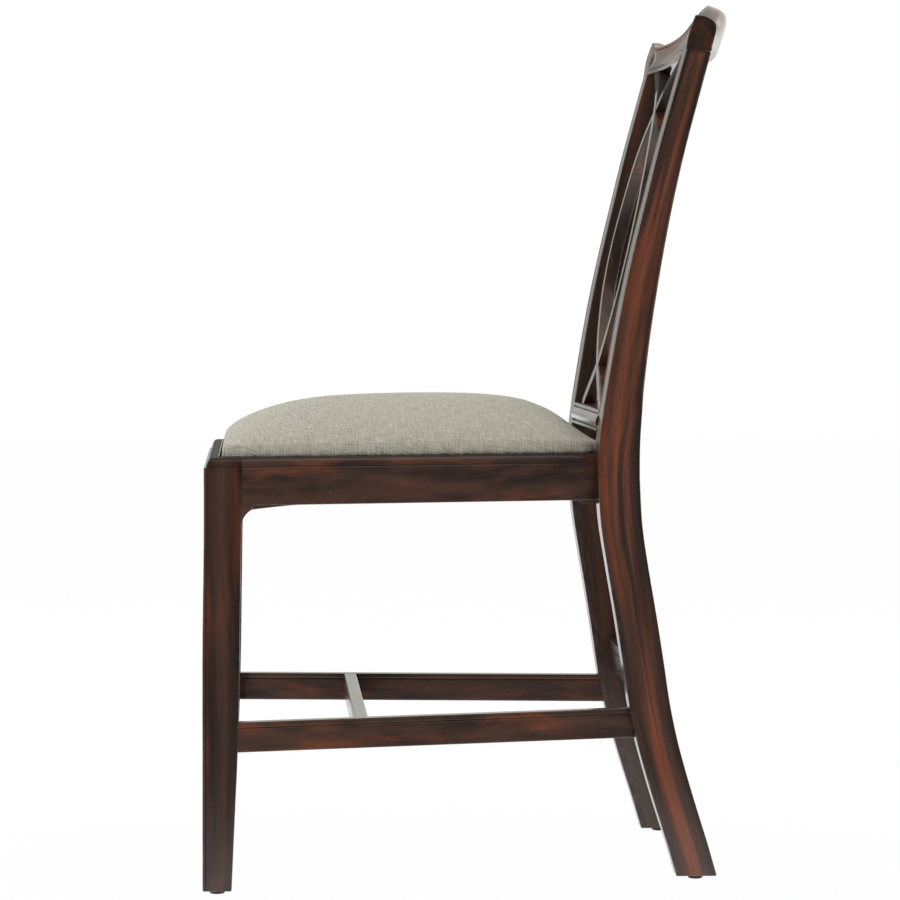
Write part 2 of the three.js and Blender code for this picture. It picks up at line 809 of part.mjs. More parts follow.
function sideStretcher(side) {
  const heights = heightsBetween(stretcherBottom - overrun, stretcherTop + overrun, stretcherEndSteps);
  const frontEnd = heights.map((height) => [frontLegBackAt(height) + jointGap, height]);
  const rearEnd = heights.map((height) => [postAt(height).front - jointGap, height]).reverse();
  const section = barSection(stretcherThickness, stretcherBottom, stretcherTop, stretcherQuirkDrop);
  const rings = [0, seatDepth + footSweep].map((depth) =>
    section.map(
      ([inward, height]) => new THREE.Vector3(side * (stretcherOuterAt(depth) - inward), depth, height),
    ),
  );
  const bar = loft(rings).intersect(prism([...frontEnd, ...rearEnd], "x", -frontWidth, frontWidth));
  return cut(
    join(bar, stretcherTenon(side, "front", 0), stretcherTenon(side, "rear", 0)),
    crossTenonSolid(side, jointGap),
  );
}

function crossTenonSolid(side, growth) {
  const bottom = stretcherTop - crossHeight + stretcherTenonShoulder;
  const top = stretcherTop - stretcherTenonShoulder;
  const front = crossPlace - stretcherTenonThickness / 2;
  const root = stretcherOuterAt(crossPlace) - stretcherThickness;
  const low = [root - overrun, front, bottom];
  return sidedBox(side, low, [root + crossTenon, front + stretcherTenonThickness, top], growth);
}

function crossStretcher() {
  const front = crossPlace - crossThickness / 2;
  const section = barSection(crossThickness, stretcherTop - crossHeight, stretcherTop, stretcherQuirkDrop);
  const inner = (depth) => stretcherOuterAt(depth) - stretcherThickness - jointGap;
  const rings = [-1, 1].map((side) =>
    section.map(([back, height]) => new THREE.Vector3(side * inner(front + back), front + back, height)),
  );
  return join(loft(rings), crossTenonSolid(1, 0), crossTenonSolid(-1, 0));
}

function rearStretcherTenon(side, growth) {
  const middle = (rearStretcherBottom + rearStretcherTop) / 2;
  const inset = (rearStretcherThickness - stretcherTenonThickness) / 2;
  const front = postAt(middle).front + rearStretcherSetback + inset;
  const back = front + stretcherTenonThickness;
  const root = postAt(rearStretcherBottom).inner;
  const low = [root - overrun, front, rearStretcherBottom + rearStretcherShoulder];
  const high = [root + stretcherTenonLength, back, rearStretcherTop - rearStretcherShoulder];
  return sidedBox(side, low, high, growth);
}

function rearStretcher() {
  const half = postAt(rearStretcherBottom).inner - jointGap;
  const section = barSection(
    rearStretcherThickness,
    rearStretcherBottom,
    rearStretcherTop,
    rearStretcherQuirkDrop,
  ).map(([back, height]) => [postAt(height).front + rearStretcherSetback + back, height]);
  return join(prism(section, "x", -half, half), rearStretcherTenon(1, 0), rearStretcherTenon(-1, 0));
}

// Lower back rail
function lowerRailTenon(side, growth) {
  const front = postAt(lowerRailBottom).front + lowerRailTenonSetback;
  const root = postAt(lowerRailBottom).inner;
  const back = front + stretcherTenonThickness;
  const low = [root - overrun, front, lowerRailBottom + stretcherTenonShoulder];
  const high = [root + stretcherTenonLength, back, lowerRailTop - stretcherTenonShoulder];
  return sidedBox(side, low, high, growth);
}

function lowerBackRail() {
  const half = postAt(lowerRailBottom).inner - jointGap;
  const face = lowerRailProfileShares.map(([rise, back]) => {
    const height = lowerRailBottom + rise * lowerRailHeight;
    return [postAt(height).front - lowerRailProud + back * lowerRailDepth, height];
  });
  const behind = [lowerRailTop, lowerRailBottom].map((height) => [
    postAt(height).front - lowerRailProud + lowerRailDepth,
    height,
  ]);
  const bar = prism([...face, ...behind], "x", -half, half);
  return cut(
    join(bar, lowerRailTenon(1, 0), lowerRailTenon(-1, 0)),
    ribTenon(1, "bottom", jointGap),
    ribTenon(-1, "bottom", jointGap),
  );
}

// Crest rail
function crestRing(x) {
  const share = Math.min(Math.abs(x) / (backTopWidth / 2), 1);
  const base = shoulderLevel + jointGap;
  const endLean = postAt(backHeight).front - postAt(shoulderLevel).front;
  const lip = new THREE.Vector2(
    postAt(shoulderLevel).front + crestLipBow * readShares(crestLipBowShares, share),
    base + crestLipRise * readShares(crestLipRiseShares, share),
  );
  const top = new THREE.Vector2(
    postAt(shoulderLevel).front + endLean + crestTopBow * readShares(crestTopBowShares, share),
    crestDipLevel + crestRise * readShares(crestRiseShares, share),
  );
  const face = top.clone().sub(lip);
  const inward = new THREE.Vector2(face.y, -face.x).normalize();
  const onFace = ([along, deep]) =>
    lip.clone().addScaledVector(face, along).addScaledVector(inward, deep * crestThickness);
  const endBlock = Math.abs(x) > postAt(shoulderLevel).inner - overrun;
  const front = crestFaceShares.map(([along, deep]) =>
    onFace([along, endBlock ? -crestEndSwell * Math.sin(Math.PI * along) : deep]),
  );
  const blend = readShares(crestEndBlendShares, share);
  const back = crestMiddleBackShares.map(([along, deep], index) => {
    const [endAlong, endDeep] = crestEndBackShares[index];
    return onFace([mix(along, endAlong, blend), mix(deep, endDeep, blend)]);
  });
  const nearStile = Math.abs(x) > postAt(shoulderLevel).inner - backTopWidth / crestStations;
  if (nearStile) {
    back.forEach((point) => point.setY(Math.max(point.y, base)));
  }
  return [...front, ...back].map((point) => new THREE.Vector3(x, point.x, point.y));
}

function crestBody() {
  const half = backTopWidth / 2;
  const places = heightsBetween(-half, half, crestStations);
  return loft(places.map(crestRing));
}

function crestRail() {
  return cut(
    crestBody(),
    stileTenon(1, jointGap),
    stileTenon(-1, jointGap),
    ribTenon(1, "top", jointGap),
    ribTenon(-1, "top", jointGap),
  );
}

// Interlaced ribs
function ribFrontAt(height) {
  const share = (height - lowerRailTop) / (shoulderLevel - lowerRailTop);
  return postAt(height).front + ribSetback * readShares(ribSetbackShares, share);
}

function ribCentreAt(height, side) {
  const share = (shoulderLevel - height) / (shoulderLevel - lowerRailTop);
  return side * ribSwing * readShares(ribPathShares, share);
}

// Corner of a rib's section, level with its own height on the leaning back
function ribRing(height, side, width, from, to) {
  const run = ribCentreAt(height + ribSlopeStep, side) - ribCentreAt(height - ribSlopeStep, side);
  const normal = new THREE.Vector2(ribSlopeStep * 2, -run).normalize();
  const centre = ribCentreAt(height, side);
  const half = width / 2;
  return [[-half, from], [half, from], [half, to], [-half, to]].map(([across, back]) => {
    const x = centre + normal.x * across;
    const z = height + normal.y * across;
    return new THREE.Vector3(x, ribFrontAt(z) + back, z);
  });
}

function ribBody(side, width, from, to) {
  const top = shoulderLevel + ribWidth;
  const rise = top - (lowerRailTop - ribWidth);
  const drops = heightsBetween(0, 1, ribStations).map((share) => rise * share ** ribStationBias);
  const heights = drops.map((drop) => top - drop).reverse();
  return loft(heights.map((height) => ribRing(height, side, width, from, to)));
}

function ribTenon(side, end, growth) {
  const inset = (ribDepth * (1 - ribTenonShare)) / 2 - growth;
  const width = ribWidth * ribTenonShare + growth * 2;
  const level = end === "top" ? shoulderLevel : lowerRailTop;
  const low = end === "top" ? level - overrun : level - ribTenonLength - growth;
  const high = end === "top" ? level + ribTenonLength + growth : level + overrun;
  const centre = ribCentreAt(level, side);
  const front = ribFrontAt(level) + ribTenonSetback - growth;
  const back = ribFrontAt(level) + ribDepth - inset;
  return block([centre - width / 2, front, low], [centre + width / 2, back, high]);
}

function rib(side) {
  const whole = ribBody(side, ribWidth, 0, ribDepth);
  const half = ribDepth / 2;
  const notch =
    side > 0
      ? ribBody(-side, ribWidth + jointGap * 2, -overrun, half + jointGap / 2)
      : ribBody(-side, ribWidth + jointGap * 2, half - jointGap / 2, ribDepth + overrun);
  const reach = ribSwing + ribTrim;
  const behind = postAt(backHeight).back + crestTopBow;
  const floor = block([-reach, 0, lowerRailTop - ribTrim], [reach, behind, lowerRailTop + jointGap]);
  const ceiling = crestBody().translate([0, 0, -jointGap]);
  const above = block([-reach, 0, shoulderLevel], [reach, behind, shoulderLevel + ribTrim]);
  const trimmed = cut(whole, notch, floor, ceiling, above);
  return join(trimmed, ribTenon(side, "top", 0), ribTenon(side, "bottom", 0));
}

// Seat
function seatOutline(growth) {
  const shoulder = postAt(seatLevel).front - seatRoom;
  const tongue = postAt(seatLevel).inner - seatRoom;
  const rear = backRailLip() - seatRoom;
  const flank = (depth) => Math.min(railOuterAt(depth), frontHalf) - lipWidth - seatRoom;
  const corners = [
    [flank(0), lipWidth + seatRoom],
    [flank(frontLegWidth), frontLegWidth],
    [Math.max(flank(shoulder), tongue + jointGap), shoulder],
    [tongue, shoulder],
    [tongue, rear],
  ];
  const right = corners.map(([x, y]) => new THREE.Vector2(x, y));
  const left = right.map((point) => new THREE.Vector2(-point.x, point.y)).reverse();
  return growOutline([...right, ...left], growth);
}

// Moves each edge of an outline outwards by a distance
function growOutline(points, distance) {
  const count = points.length;
  return points.map((point, index) => {
    const before = points[(index + count - 1) % count];
    const after = points[(index + 1) % count];
    const first = point.clone().sub(before).normalize();
    const second = after.clone().sub(point).normalize();
    const normalA = new THREE.Vector2(first.y, -first.x);
    const normalB = new THREE.Vector2(second.y, -second.x);
    const middle = normalA.clone().add(normalB);
    const scale = (2 * distance) / middle.lengthSq();
    return point.clone().addScaledVector(middle, scale);
  });
}

// Rounds the two front corners and spreads points along the long edges
function cushionOutline(growth) {
  const corners = seatOutline(growth);
  const radius = cushionCornerRadius + growth;
  const shape = new THREE.Path();
  const [first] = corners;
  const last = corners[corners.length - 1];
  const points = [];
  const spread = (from, to, steps) => {
    for (let step = 0; step < steps; step += 1) {
      points.push(from.clone().lerp(to, step / steps));
    }
  };
  const [, flank, shoulder, notch, rear] = corners;
  const mirror = (point) => new THREE.Vector2(-point.x, point.y);
  shape.absarc(first.x - radius, first.y + radius, radius, -Math.PI / 2, 0, false);
  const round = shape.getPoints(cushionCornerSteps);
  round.slice(0, -1).forEach((point) => points.push(point));
  const cornerEnd = round[round.length - 1];
  spread(cornerEnd, flank, 1);
  spread(flank, shoulder, cushionEdgeSteps);
  spread(shoulder, notch, 1);
  spread(notch, rear, 1);
  spread(rear, mirror(rear), cushionEdgeSteps);
  spread(mirror(rear), mirror(notch), 1);
  spread(mirror(notch), mirror(shoulder), 1);
  spread(mirror(shoulder), mirror(flank), cushionEdgeSteps);
  spread(mirror(flank), mirror(cornerEnd), 1);
  round.slice(1).reverse().forEach((point) => points.push(mirror(point)));
  const frontEnds = [last.x + radius, first.x - radius].map((x) => new THREE.Vector2(x, first.y));
  spread(...frontEnds, cushionEdgeSteps);
  return points;
}

function cushionSolid(growth, bottom) {
  const outline = cushionOutline(growth);
  const centre = new THREE.Vector2(0, cushionCentre);
  const frontEdge = lipWidth + seatRoom;
  const rearEdge = backRailLip() - seatRoom;
  const base = boardTop + jointGap;
  const flank = (depth) => railOuterAt(Math.max(depth, frontLegWidth)) - lipWidth - seatRoom;
  const riseAt = (place) => {
    const across = clampShare(Math.abs(place.x) / flank(place.y));
    const along = clampShare((place.y - frontEdge) / (rearEdge - frontEdge));
    const crown = readShares(cushionAcrossShares, across) * readShares(cushionAlongShares, along);
    return cushionEdge + cushionDome * crown;
  };
  const skirt = outline.map((point) => new THREE.Vector3(point.x, point.y, bottom));
  const rings = cushionRingShares.map((scale, index) =>
    outline.map((point) => {
      const place = centre.clone().lerp(point, scale);
      const rise = index === 0 ? 0 : riseAt(place);
      return new THREE.Vector3(place.x, place.y, base + rise + growth);
    }),
  );
  return loft(growth > 0 ? [skirt, ...rings] : rings, true);
}

function seatBoard() {
  const outline = cushionOutline(0);
  const rings = [boardBottom, boardTop].map((height) =>
    outline.map((point) => new THREE.Vector3(point.x, point.y, height)),
  );
  const board = loft(rings, true);
  const holes = ["front", "rear"].flatMap((end) => [1, -1].map((side) => seatScrew(side, end, true)));
  return cut(board, ...holes);
}

function seatCover() {
  const bottom = boardBottom + jointGap;
  const outside = cushionSolid(jointGap + coverThickness, bottom);
  return cut(outside, cushionSolid(jointGap, bottom - overrun));
}

function dustCloth() {
  const front = railThickness + dustClothMargin;
  const rear = backRailFront - dustClothMargin;
  const inner = (depth) => railOuterAt(depth) - railThickness - dustClothMargin;
  const frontBlock = blockLeg + frontLegWidth;
  const half = [
    [frontHalf - frontLegWidth - blockLeg - dustClothMargin * 2, front],
    [inner(frontBlock + dustClothMargin * 2), frontBlock + dustClothMargin * 2],
    [inner(seatDepth - blockLeg), seatDepth - blockLeg],
    [postAt(railBottom).inner - blockLeg, rear],
  ];
  const outline = [...half, ...half.map(([x, y]) => [-x, y]).reverse()];
  const top = boardBottom - jointGap;
  return prism(outline, "z", top - dustClothThickness, top);
}

// Corner blocks: their plan follows the rails and the leg that they are glued to
function blockPlan(end) {
  const gap = jointGap;
  if (end === "front") {
    const leg = frontHalf - frontLegWidth;
    const reach = frontLegWidth + blockLeg;
    const inner = (depth) => railOuterAt(depth) - railThickness - gap;
    return [
      [leg - blockLeg, railThickness + gap],
      [leg - gap, railThickness + gap],
      [leg - gap, frontLegWidth + gap],
      [inner(frontLegWidth + gap), frontLegWidth + gap],
      [inner(reach), reach],
    ];
  }
  const leg = postAt(blockTop).inner;
  const inner = (depth) => railOuterAt(depth) - railThickness - gap;
  const start = seatDepth - blockLeg * rearBlockSideShare;
  return [
    [inner(start), start],
    [Math.min(inner(seatDepth - gap), leg - gap), seatDepth - gap],
    [leg - gap - legEase, seatDepth - gap],
    [leg - gap - legEase, backRailFront - gap],
    [leg - blockLeg * rearBlockCrossShare, backRailFront - gap],
  ];
}

function blockBottomAt(end) {
  return end === "front" ? railBottom + frontBlockLift : railBottom - rearBlockDrop;
}

// Ends of a block's slanting face, from the cross rail to the side rail
function blockFace(end) {
  const plan = blockPlan(end);
  return end === "front" ? [plan[0], plan[plan.length - 1]] : [plan[plan.length - 1], plan[0]];
}

// Screw seats: one runs into the side rail, one into the front or back rail
function blockScrewSeat(side, end, rail) {
  const [cross, flank] = blockFace(end);
  const share = rail === "side" ? screwPlaceShare : 1 - screwPlaceShare;
  const face = [mix(cross[0], flank[0], share), mix(cross[1], flank[1], share)];
  const height = (railBottom + rabbetFloor) / 2;
  if (rail === "side") {
    const target = railOuterAt(face[1]) - railThickness;
    const start = face[0] + screwRecess;
    const length = target - start + screwBite;
    return { seat: [side * start, face[1], height], direction: [side, 0, 0], length };
  }
  const towards = end === "front" ? -1 : 1;
  const target = end === "front" ? railThickness : backRailFront;
  const start = face[1] + towards * screwRecess;
  const length = Math.abs(target - start) + screwBite;
  return { seat: [side * face[0], start, height], direction: [0, towards, 0], length };
}

function screwHoles(rail, side) {
  const seats = [];
  if (rail === "side" || rail === "front") {
    seats.push(blockScrewSeat(side, "front", rail));
  }
  if (rail === "side") {
    seats.push(blockScrewSeat(side, "rear", rail));
  }
  if (rail === "back") {
    seats.push(blockScrewSeat(side, "rear", "back"));
  }
  return seats.map(({ seat, direction, length }) => placeTurned(screwHole(length), seat, direction));
}

// The screws that hold the seat run up through the blocks into the board
function seatScrew(side, end, asHole) {
  const plan = blockPlan(end);
  const [cross, flank] = blockFace(end);
  const middle = [(cross[0] + flank[0]) / 2, (cross[1] + flank[1]) / 2];
  const corner = plan[2];
  const place = middle.map((value, index) => mix(value, corner[index], seatScrewPlaceShare));
  const start = blockBottomAt(end) + screwRecess;
  const length = boardBottom + seatScrewBite - start;
  const geometry = asHole ? screwHole(length) : screwSolid(length);
  return placeTurned(geometry, [side * place[0], place[1], start], [0, 0, 1]);
}

function cornerBlock(side, end) {
  const plan = blockPlan(end).map(([x, y]) => [side * x, y]);
  const solid = prism(plan, "z", blockBottomAt(end), blockTop);
  const cross = end === "front" ? "front" : "back";
  const holes = ["side", cross].map((rail) => {
    const { seat, direction, length } = blockScrewSeat(side, end, rail);
    return placeTurned(screwHole(length), seat, direction);
  });
  return cut(solid, ...holes, seatScrew(side, end, true));
}

// Glides under the feet, each with its nail
function glidePlace(side, end) {
  if (end === "front") {
    return [side * (frontHalf - frontFootWidth / 2), frontFootWidth / 2 - frontFootForward];
  }
  const post = postAt(glideHeight);
  return [side * ((post.outer + post.inner) / 2), (post.front + post.back) / 2];
}

function glideSolid(side, end) {
  const [x, y] = glidePlace(side, end);
  const shoulder = glideHeight - jointGap;
  const profile = [
    [0, 0],
    [glideRadius - glideEase, 0],
    [glideRadius, glideEase],
    [glideRadius, shoulder],
    [glideNailRadius, shoulder],
    [glideNailRadius, glideHeight + glideNailLength - glideNailRadius * 2],
    [0, glideHeight + glideNailLength],
  ];
  const geometry = new THREE.LatheGeometry(profile.map(([r, z]) => new THREE.Vector2(r, z)), glideSides);
  return placeTurned(geometry, [x, y, 0], [0, 0, 1]);
}

function glideHole(side, end) {
  const [x, y] = glidePlace(side, end);
  const radius = glideNailRadius + jointGap;
  const top = glideHeight + glideNailLength + jointGap;
  const profile = [[0, 0], [radius, 0], [radius, top], [0, top]];
  const geometry = new THREE.LatheGeometry(profile.map(([r, z]) => new THREE.Vector2(r, z)), glideSides);
  return placeTurned(geometry, [x, y, 0], [0, 0, 1]);
}

// The pieces
for (const [sideName, side] of [["left", 1], ["right", -1]]) {
  addPiece(`front_leg_${sideName}`, frontLeg(side), mahogany);
  addPiece(`rear_leg_${sideName}`, rearLeg(side), mahogany);
  addPiece(`side_rail_${sideName}`, sideRail(side), mahogany);
  addPiece(`side_stretcher_${sideName}`, sideStretcher(side), mahogany);
  addPiece(`back_rib_${sideName}`, rib(side), mahogany);
  for (const end of ["front", "rear"]) {
    addPiece(`corner_block_${end}_${sideName}`, cornerBlock(side, end), secondaryWood);
    addPiece(`seat_screw_${end}_${sideName}`, seatScrew(side, end, false), steel);
    addPiece(`foot_glide_${end}_${sideName}`, glideSolid(side, end), blackNylon);
    for (const rail of ["side", end === "front" ? "front" : "back"]) {
      const { seat, direction, length } = blockScrewSeat(side, end, rail);
      const name = `block_screw_${end}_${sideName}_${rail === "side" ? "side" : "cross"}`;
      addPiece(name, placeTurned(screwSolid(length), seat, direction), steel);
    }
  }
}
addPiece("front_rail", frontRail(), mahogany);
addPiece("back_rail", backRail(), mahogany);
addPiece("cross_stretcher", crossStretcher(), mahogany);
addPiece("rear_stretcher", rearStretcher(), mahogany);
addPiece("lower_back_rail", lowerBackRail(), mahogany);
addPiece("crest_rail", crestRail(), mahogany);
addPiece("seat_board", seatBoard(), plywood);
addPiece("seat_foam", cushionSolid(0, boardTop), foam);
addPiece("seat_cover", seatCover(), linen);
addPiece("dust_cloth", dustCloth(), darkCloth);

// The origin is on the floor, under the middle of the whole chair
const reach = new THREE.Box3().setFromObject(chair);
chair.position.set(0, -(reach.min.y + reach.max.y) / 2, 0);
const group = new THREE.Group();
group.add(chair);

export default group;
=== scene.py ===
import math

import bmesh
import bpy
import numpy as np
from mathutils import Matrix, Vector


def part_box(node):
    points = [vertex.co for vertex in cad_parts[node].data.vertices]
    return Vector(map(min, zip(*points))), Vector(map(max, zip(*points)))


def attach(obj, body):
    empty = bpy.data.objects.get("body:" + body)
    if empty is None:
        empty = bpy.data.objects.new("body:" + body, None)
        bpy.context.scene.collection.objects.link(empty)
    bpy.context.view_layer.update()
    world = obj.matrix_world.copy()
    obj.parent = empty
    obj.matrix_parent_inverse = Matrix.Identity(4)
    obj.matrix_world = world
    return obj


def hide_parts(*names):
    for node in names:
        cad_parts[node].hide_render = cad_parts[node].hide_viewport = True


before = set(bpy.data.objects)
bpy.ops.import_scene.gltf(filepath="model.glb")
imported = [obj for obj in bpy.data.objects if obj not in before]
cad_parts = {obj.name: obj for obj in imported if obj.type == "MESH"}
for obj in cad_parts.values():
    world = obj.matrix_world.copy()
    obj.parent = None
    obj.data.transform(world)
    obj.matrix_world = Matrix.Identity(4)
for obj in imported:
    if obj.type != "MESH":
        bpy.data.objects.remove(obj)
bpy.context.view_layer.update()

# A dining side chair of dark mahogany with a linen seat. Sizes are in millimetres, as on a
# maker's drawing: X to the sitter's left, Y back from the front legs' front faces, Z up.
MM = 0.001
FRONT_FOOT_FORWARD = 2.45
FRONT_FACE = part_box("front_leg_left")[0].y + FRONT_FOOT_FORWARD * MM

# Outside sizes and levels
FRONT_HALF = 255.0
REAR_FOOT_HALF = 185.0
REAR_SEAT_HALF = 186.0
BACK_TOP_HALF = 202.0
GLIDE_HEIGHT = 4.0
RAIL_TOP = 459.5
RAIL_BOTTOM = 409.5
SEAT_LEVEL = 434.0
SHOULDER_LEVEL = 887.0
BACK_HEIGHT = 926.0
STRETCHER_TOP = 182.5
REAR_STRETCHER_TOP = 229.0
LOWER_RAIL_TOP = 506.0

# Front legs
FRONT_LEG_WIDTH = 40.0
FRONT_FOOT_WIDTH = 30.5
LEG_BEAD = 1.5
LEG_QUIRK = 0.9
LEG_QUIRK_DEPTH = 0.8
LEG_EASE = 1.2
BEAD_STEPS = 10
BEAD_SWEEP = (318, 132)
CORNER_SWEEP = (270, 180)
QUIRK_SLOPE_SHARE = 0.7
FRONT_LEG_LEVELS = 24
LEG_EDGE_SHADE_PLACE_SHARES = (0.4, 0.6, 0.8)
FRONT_LEG_EDGE_SHADE_SHARES = [(0.42, 0.12, 0.3), (0.55, 0.8, 0.8)]
LEG_TAPER_SHARES = [
    (0, 0), (0.16, 0.34), (0.32, 0.68), (0.5, 0.87), (0.6, 0.9), (0.69, 0.9), (0.78, 0.9),
    (0.89, 1), (1, 1),
]
LEG_FORWARD_SHARES = [
    (0, 1), (0.16, 0.96), (0.32, 0.88), (0.5, 0.82), (0.6, 0.67), (0.69, 0.4), (0.78, 0.14),
    (0.89, 0), (1, 0),
]

# Rear legs
SEAT_DEPTH = 420.0
REAR_LEG_DEPTH = 45.2
FOOT_SWEEP = 86.5
BACK_SWEEP = 102.7
REAR_LEG_THICKNESS = 39.0
BACK_EASE = 6.0
INNER_EASE = 1.8
STILE_BEAD = 3.2
STILE_BEAD_RISE = 0.9
STILE_QUIRK = 2.0
STILE_QUIRK_DEPTH = 1.7
STILE_QUIRK_SHARES = (0.3, 0.6)
STILE_FIELD_DEPTH = 0.55
STILE_FIELD_FALL = 0.15
STILE_CROWN = 0.35
STILE_CROWN_SHARES = (0.35, 0.7)
STILE_BEAD_STEPS = 8
REED_RUN_OUT = 8.0
REED_LEVELS = 4
LEG_LEVELS = 56
STILE_LEVELS = 44
REAR_CORNER_STEPS = 5
REAR_EDGE_SHADE_PLACE_SHARES = (0.74, 0.6, 0.4, 0.2)
REAR_EDGE_SHADE_SHARES = [(0.16, 0.06, 0.4), (0.78, 0.9, 0.9)]
REAR_GLOW_SHARES = [(0.16, 0.36), (0.8, 0.62)]
LOWER_SWEEP_SHARES = [
    (0, 0.994), (0.084, 0.871), (0.177, 0.724), (0.258, 0.603), (0.34, 0.492), (0.433, 0.395),
    (0.537, 0.317), (0.653, 0.226), (0.781, 0.118), (0.886, 0.039), (1, 0),
]
UPPER_SWEEP_SHARES = [
    (0, 0), (0.073, 0.011), (0.148, 0.053), (0.226, 0.113), (0.317, 0.186), (0.419, 0.28),
    (0.52, 0.388), (0.622, 0.507), (0.724, 0.628), (0.825, 0.76), (0.921, 0.888), (1, 1),
]
STILE_DEPTH_SHARES = [
    (0, 1), (0.073, 0.976), (0.148, 0.926), (0.226, 0.867), (0.317, 0.82), (0.419, 0.773),
    (0.52, 0.715), (0.622, 0.662), (0.724, 0.64), (0.825, 0.627), (1, 0.599),
]
LEG_DEPTH_SHARES = [(0, 0.967), (0.2, 0.978), (0.57, 0.98), (0.8, 0.978), (0.92, 0.991), (1, 1)]
LEG_THICKNESS_SHARES = [(0, 0.718), (0.57, 0.744), (0.8, 0.8), (0.92, 0.92), (1, 1)]
STILE_THICKNESS_SHARES = [
    (0, 1), (0.13, 1.115), (0.34, 1.115), (0.54, 1.05), (0.745, 0.95), (0.92, 0.872), (1, 0.86),
]
STILE_FLARE_SHARES = [
    (0, 0), (0.15, 0.3), (0.35, 0.48), (0.54, 0.54), (0.75, 0.72), (0.92, 0.93), (1, 1),
]

# Seat rails
RAIL_THICKNESS = 24.0
LIP_WIDTH = 16.0
RABBET_DEPTH = 12.8
MOULDING_HEIGHT = 10.5
MOULDING_STEP = 2.5
MOULDING_REACH = 9.5
MOULDING_ARRIS = 0.4
MOULDING_CREASE = 0.1
MOULDING_MARGIN = 1.5
MOULDING_STEPS = 8
MOULDING_WEAR_SHARE = 0.15
# The cushion's painted shadow on the moulded edge: its reach down from the rail's top, and its
# darkness
LIP_SHADOW = 2.6
LIP_PAINTED_SHADOW = -0.8
RAIL_INSET_AT_REAR = 15.6
RAIL_ARRIS = 0.8
RAIL_STEPS = 8
BRACKET_DROP = 18.5
BRACKET_SHOULDER = 4.5
BRACKET_CURVE = 10.0
BRACKET_RUN = 62.0
BRACKET_SETBACK = 3.0
BRACKET_STEP = 0.05
BRACKET_BLEND = 2.0
BRACKET_LEAST = 0.15
BRACKET_CREASE = 0.1
BRACKET_ARRIS = 0.4
BRACKET_SWEEP_SHARE = 0.6
BRACKET_TAIL_POWER = 1.25
BRACKET_CURVE_STEPS = 8
BRACKET_TAIL_STEPS = 10
BACK_RAIL_THICKNESS = 30.0
BACK_RAIL_INSET = 11.0
BACK_RAIL_ROUND = 2.5
SEAT_ROOM = 2.0

# Stretchers
STRETCHER_HEIGHT = 31.5
STRETCHER_THICKNESS = 16.0
STRETCHER_REVEAL = 1.0
STRETCHER_REAR_REVEAL = 8.5
STRETCHER_EASE = 1.5
STRETCHER_LOW_EASE = 1.0
STRETCHER_STEPS = 12
STRETCHER_FALL = 0.9
STRETCHER_RISE = 2.6
QUIRK_DROP = 6.0
QUIRK_WIDTH = 1.0
QUIRK_EASE = 0.3
CROSS_HEIGHT = 26.0
CROSS_THICKNESS = 14.5
CROSS_PLACE = 165.5
REAR_STRETCHER_HEIGHT = 39.0
REAR_STRETCHER_THICKNESS = 17.0
REAR_STRETCHER_SETBACK = 18.0
REAR_QUIRK_DROP = 12.0

# Lower back rail and crest
LOWER_RAIL_HEIGHT = 24.0
LOWER_RAIL_DEPTH = 22.0
LOWER_RAIL_PROUD = 0.5
LOWER_RAIL_ARRIS = 0.35
LOWER_RAIL_BACK_EASE = 1.5
LOWER_RAIL_STEPS = 16
LOWER_RAIL_CORNER_STEPS = 2
LOWER_RAIL_PROFILE_SHARES = [
    (0, 0.1), (0.03, 0), (0.13, 0), (0.17, 0.12), (0.2, 0.12), (0.21, 0.05), (0.3, -0.04),
    (0.45, -0.09), (0.6, -0.08), (0.74, 0), (0.78, 0.05), (0.79, 0.13), (0.83, 0.13),
    (0.86, 0), (0.97, 0), (1, 0.1),
]
CREST_THICKNESS = 27.0
CREST_DIP_LEVEL = 917.3
CREST_RISE = 35.0
CREST_TOP_BOW = 35.5
CREST_LIP_BOW = 10.0
CREST_LIP_RISE = 2.5
CREST_END_SWELL_SHARE = 0.07
CREST_RUN_OUT = 4.0
CREST_END_EASE = 1.8
CREST_END_GAP = 0.2
CREST_POST_ROOM = BACK_TOP_HALF / 12
CREST_STEPS = 76
CREST_CURVE_STEPS = 4
CREST_BEAD_WEAR = 0.8
CREST_END_SHADE_SHARES = (0.3, 0.25)
CREST_RISE_SHARES = [
    (0, 1), (0.04, 0.985), (0.1, 0.89), (0.17, 0.7), (0.25, 0.46),
    (0.35, 0.26), (0.5, 0.11), (0.65, 0.05), (0.825, 0.05), (0.92, 0.13), (1, 0.28),
]
CREST_TOP_BOW_SHARES = [
    (0, 1), (0.04, 0.985), (0.1, 0.905), (0.17, 0.785), (0.25, 0.64),
    (0.45, 0.37), (0.65, 0.14), (0.825, 0), (0.92, -0.03), (1, -0.03),
]
CREST_LIP_BOW_SHARES = [
    (0, 1), (0.04, 0.995), (0.225, 0.836), (0.45, 0.574), (0.65, 0.262), (0.825, 0), (1, 0),
]
CREST_LIP_RISE_SHARES = [(0, 1), (0.225, 0.48), (0.45, 0.2), (0.65, 0.1), (0.8, 0), (1, 0)]
CREST_FACE_SHARES = [
    (0, 0.05), (0.01, 0.015), (0.05, -0.01), (0.1, -0.005), (0.135, 0.04), (0.15, 0.1),
    (0.165, 0.1), (0.18, 0.045), (0.2, 0.03), (0.215, 0.035), (0.235, 0.09), (0.25, 0.09),
    (0.265, 0.06), (0.4, 0.12), (0.6, 0.125), (0.8, 0.07), (0.86, 0.03), (0.875, 0.035), (0.89, 0.09),
    (0.905, 0.09), (0.92, 0.02), (0.985, 0.0), (1, 0.015),
]
CREST_GROOVE_SHARES = (0.15, 0.165, 0.235, 0.25, 0.89, 0.905)
CREST_BEAD_SHARES = (0.05, 0.18, 0.2, 0.86, 0.92)
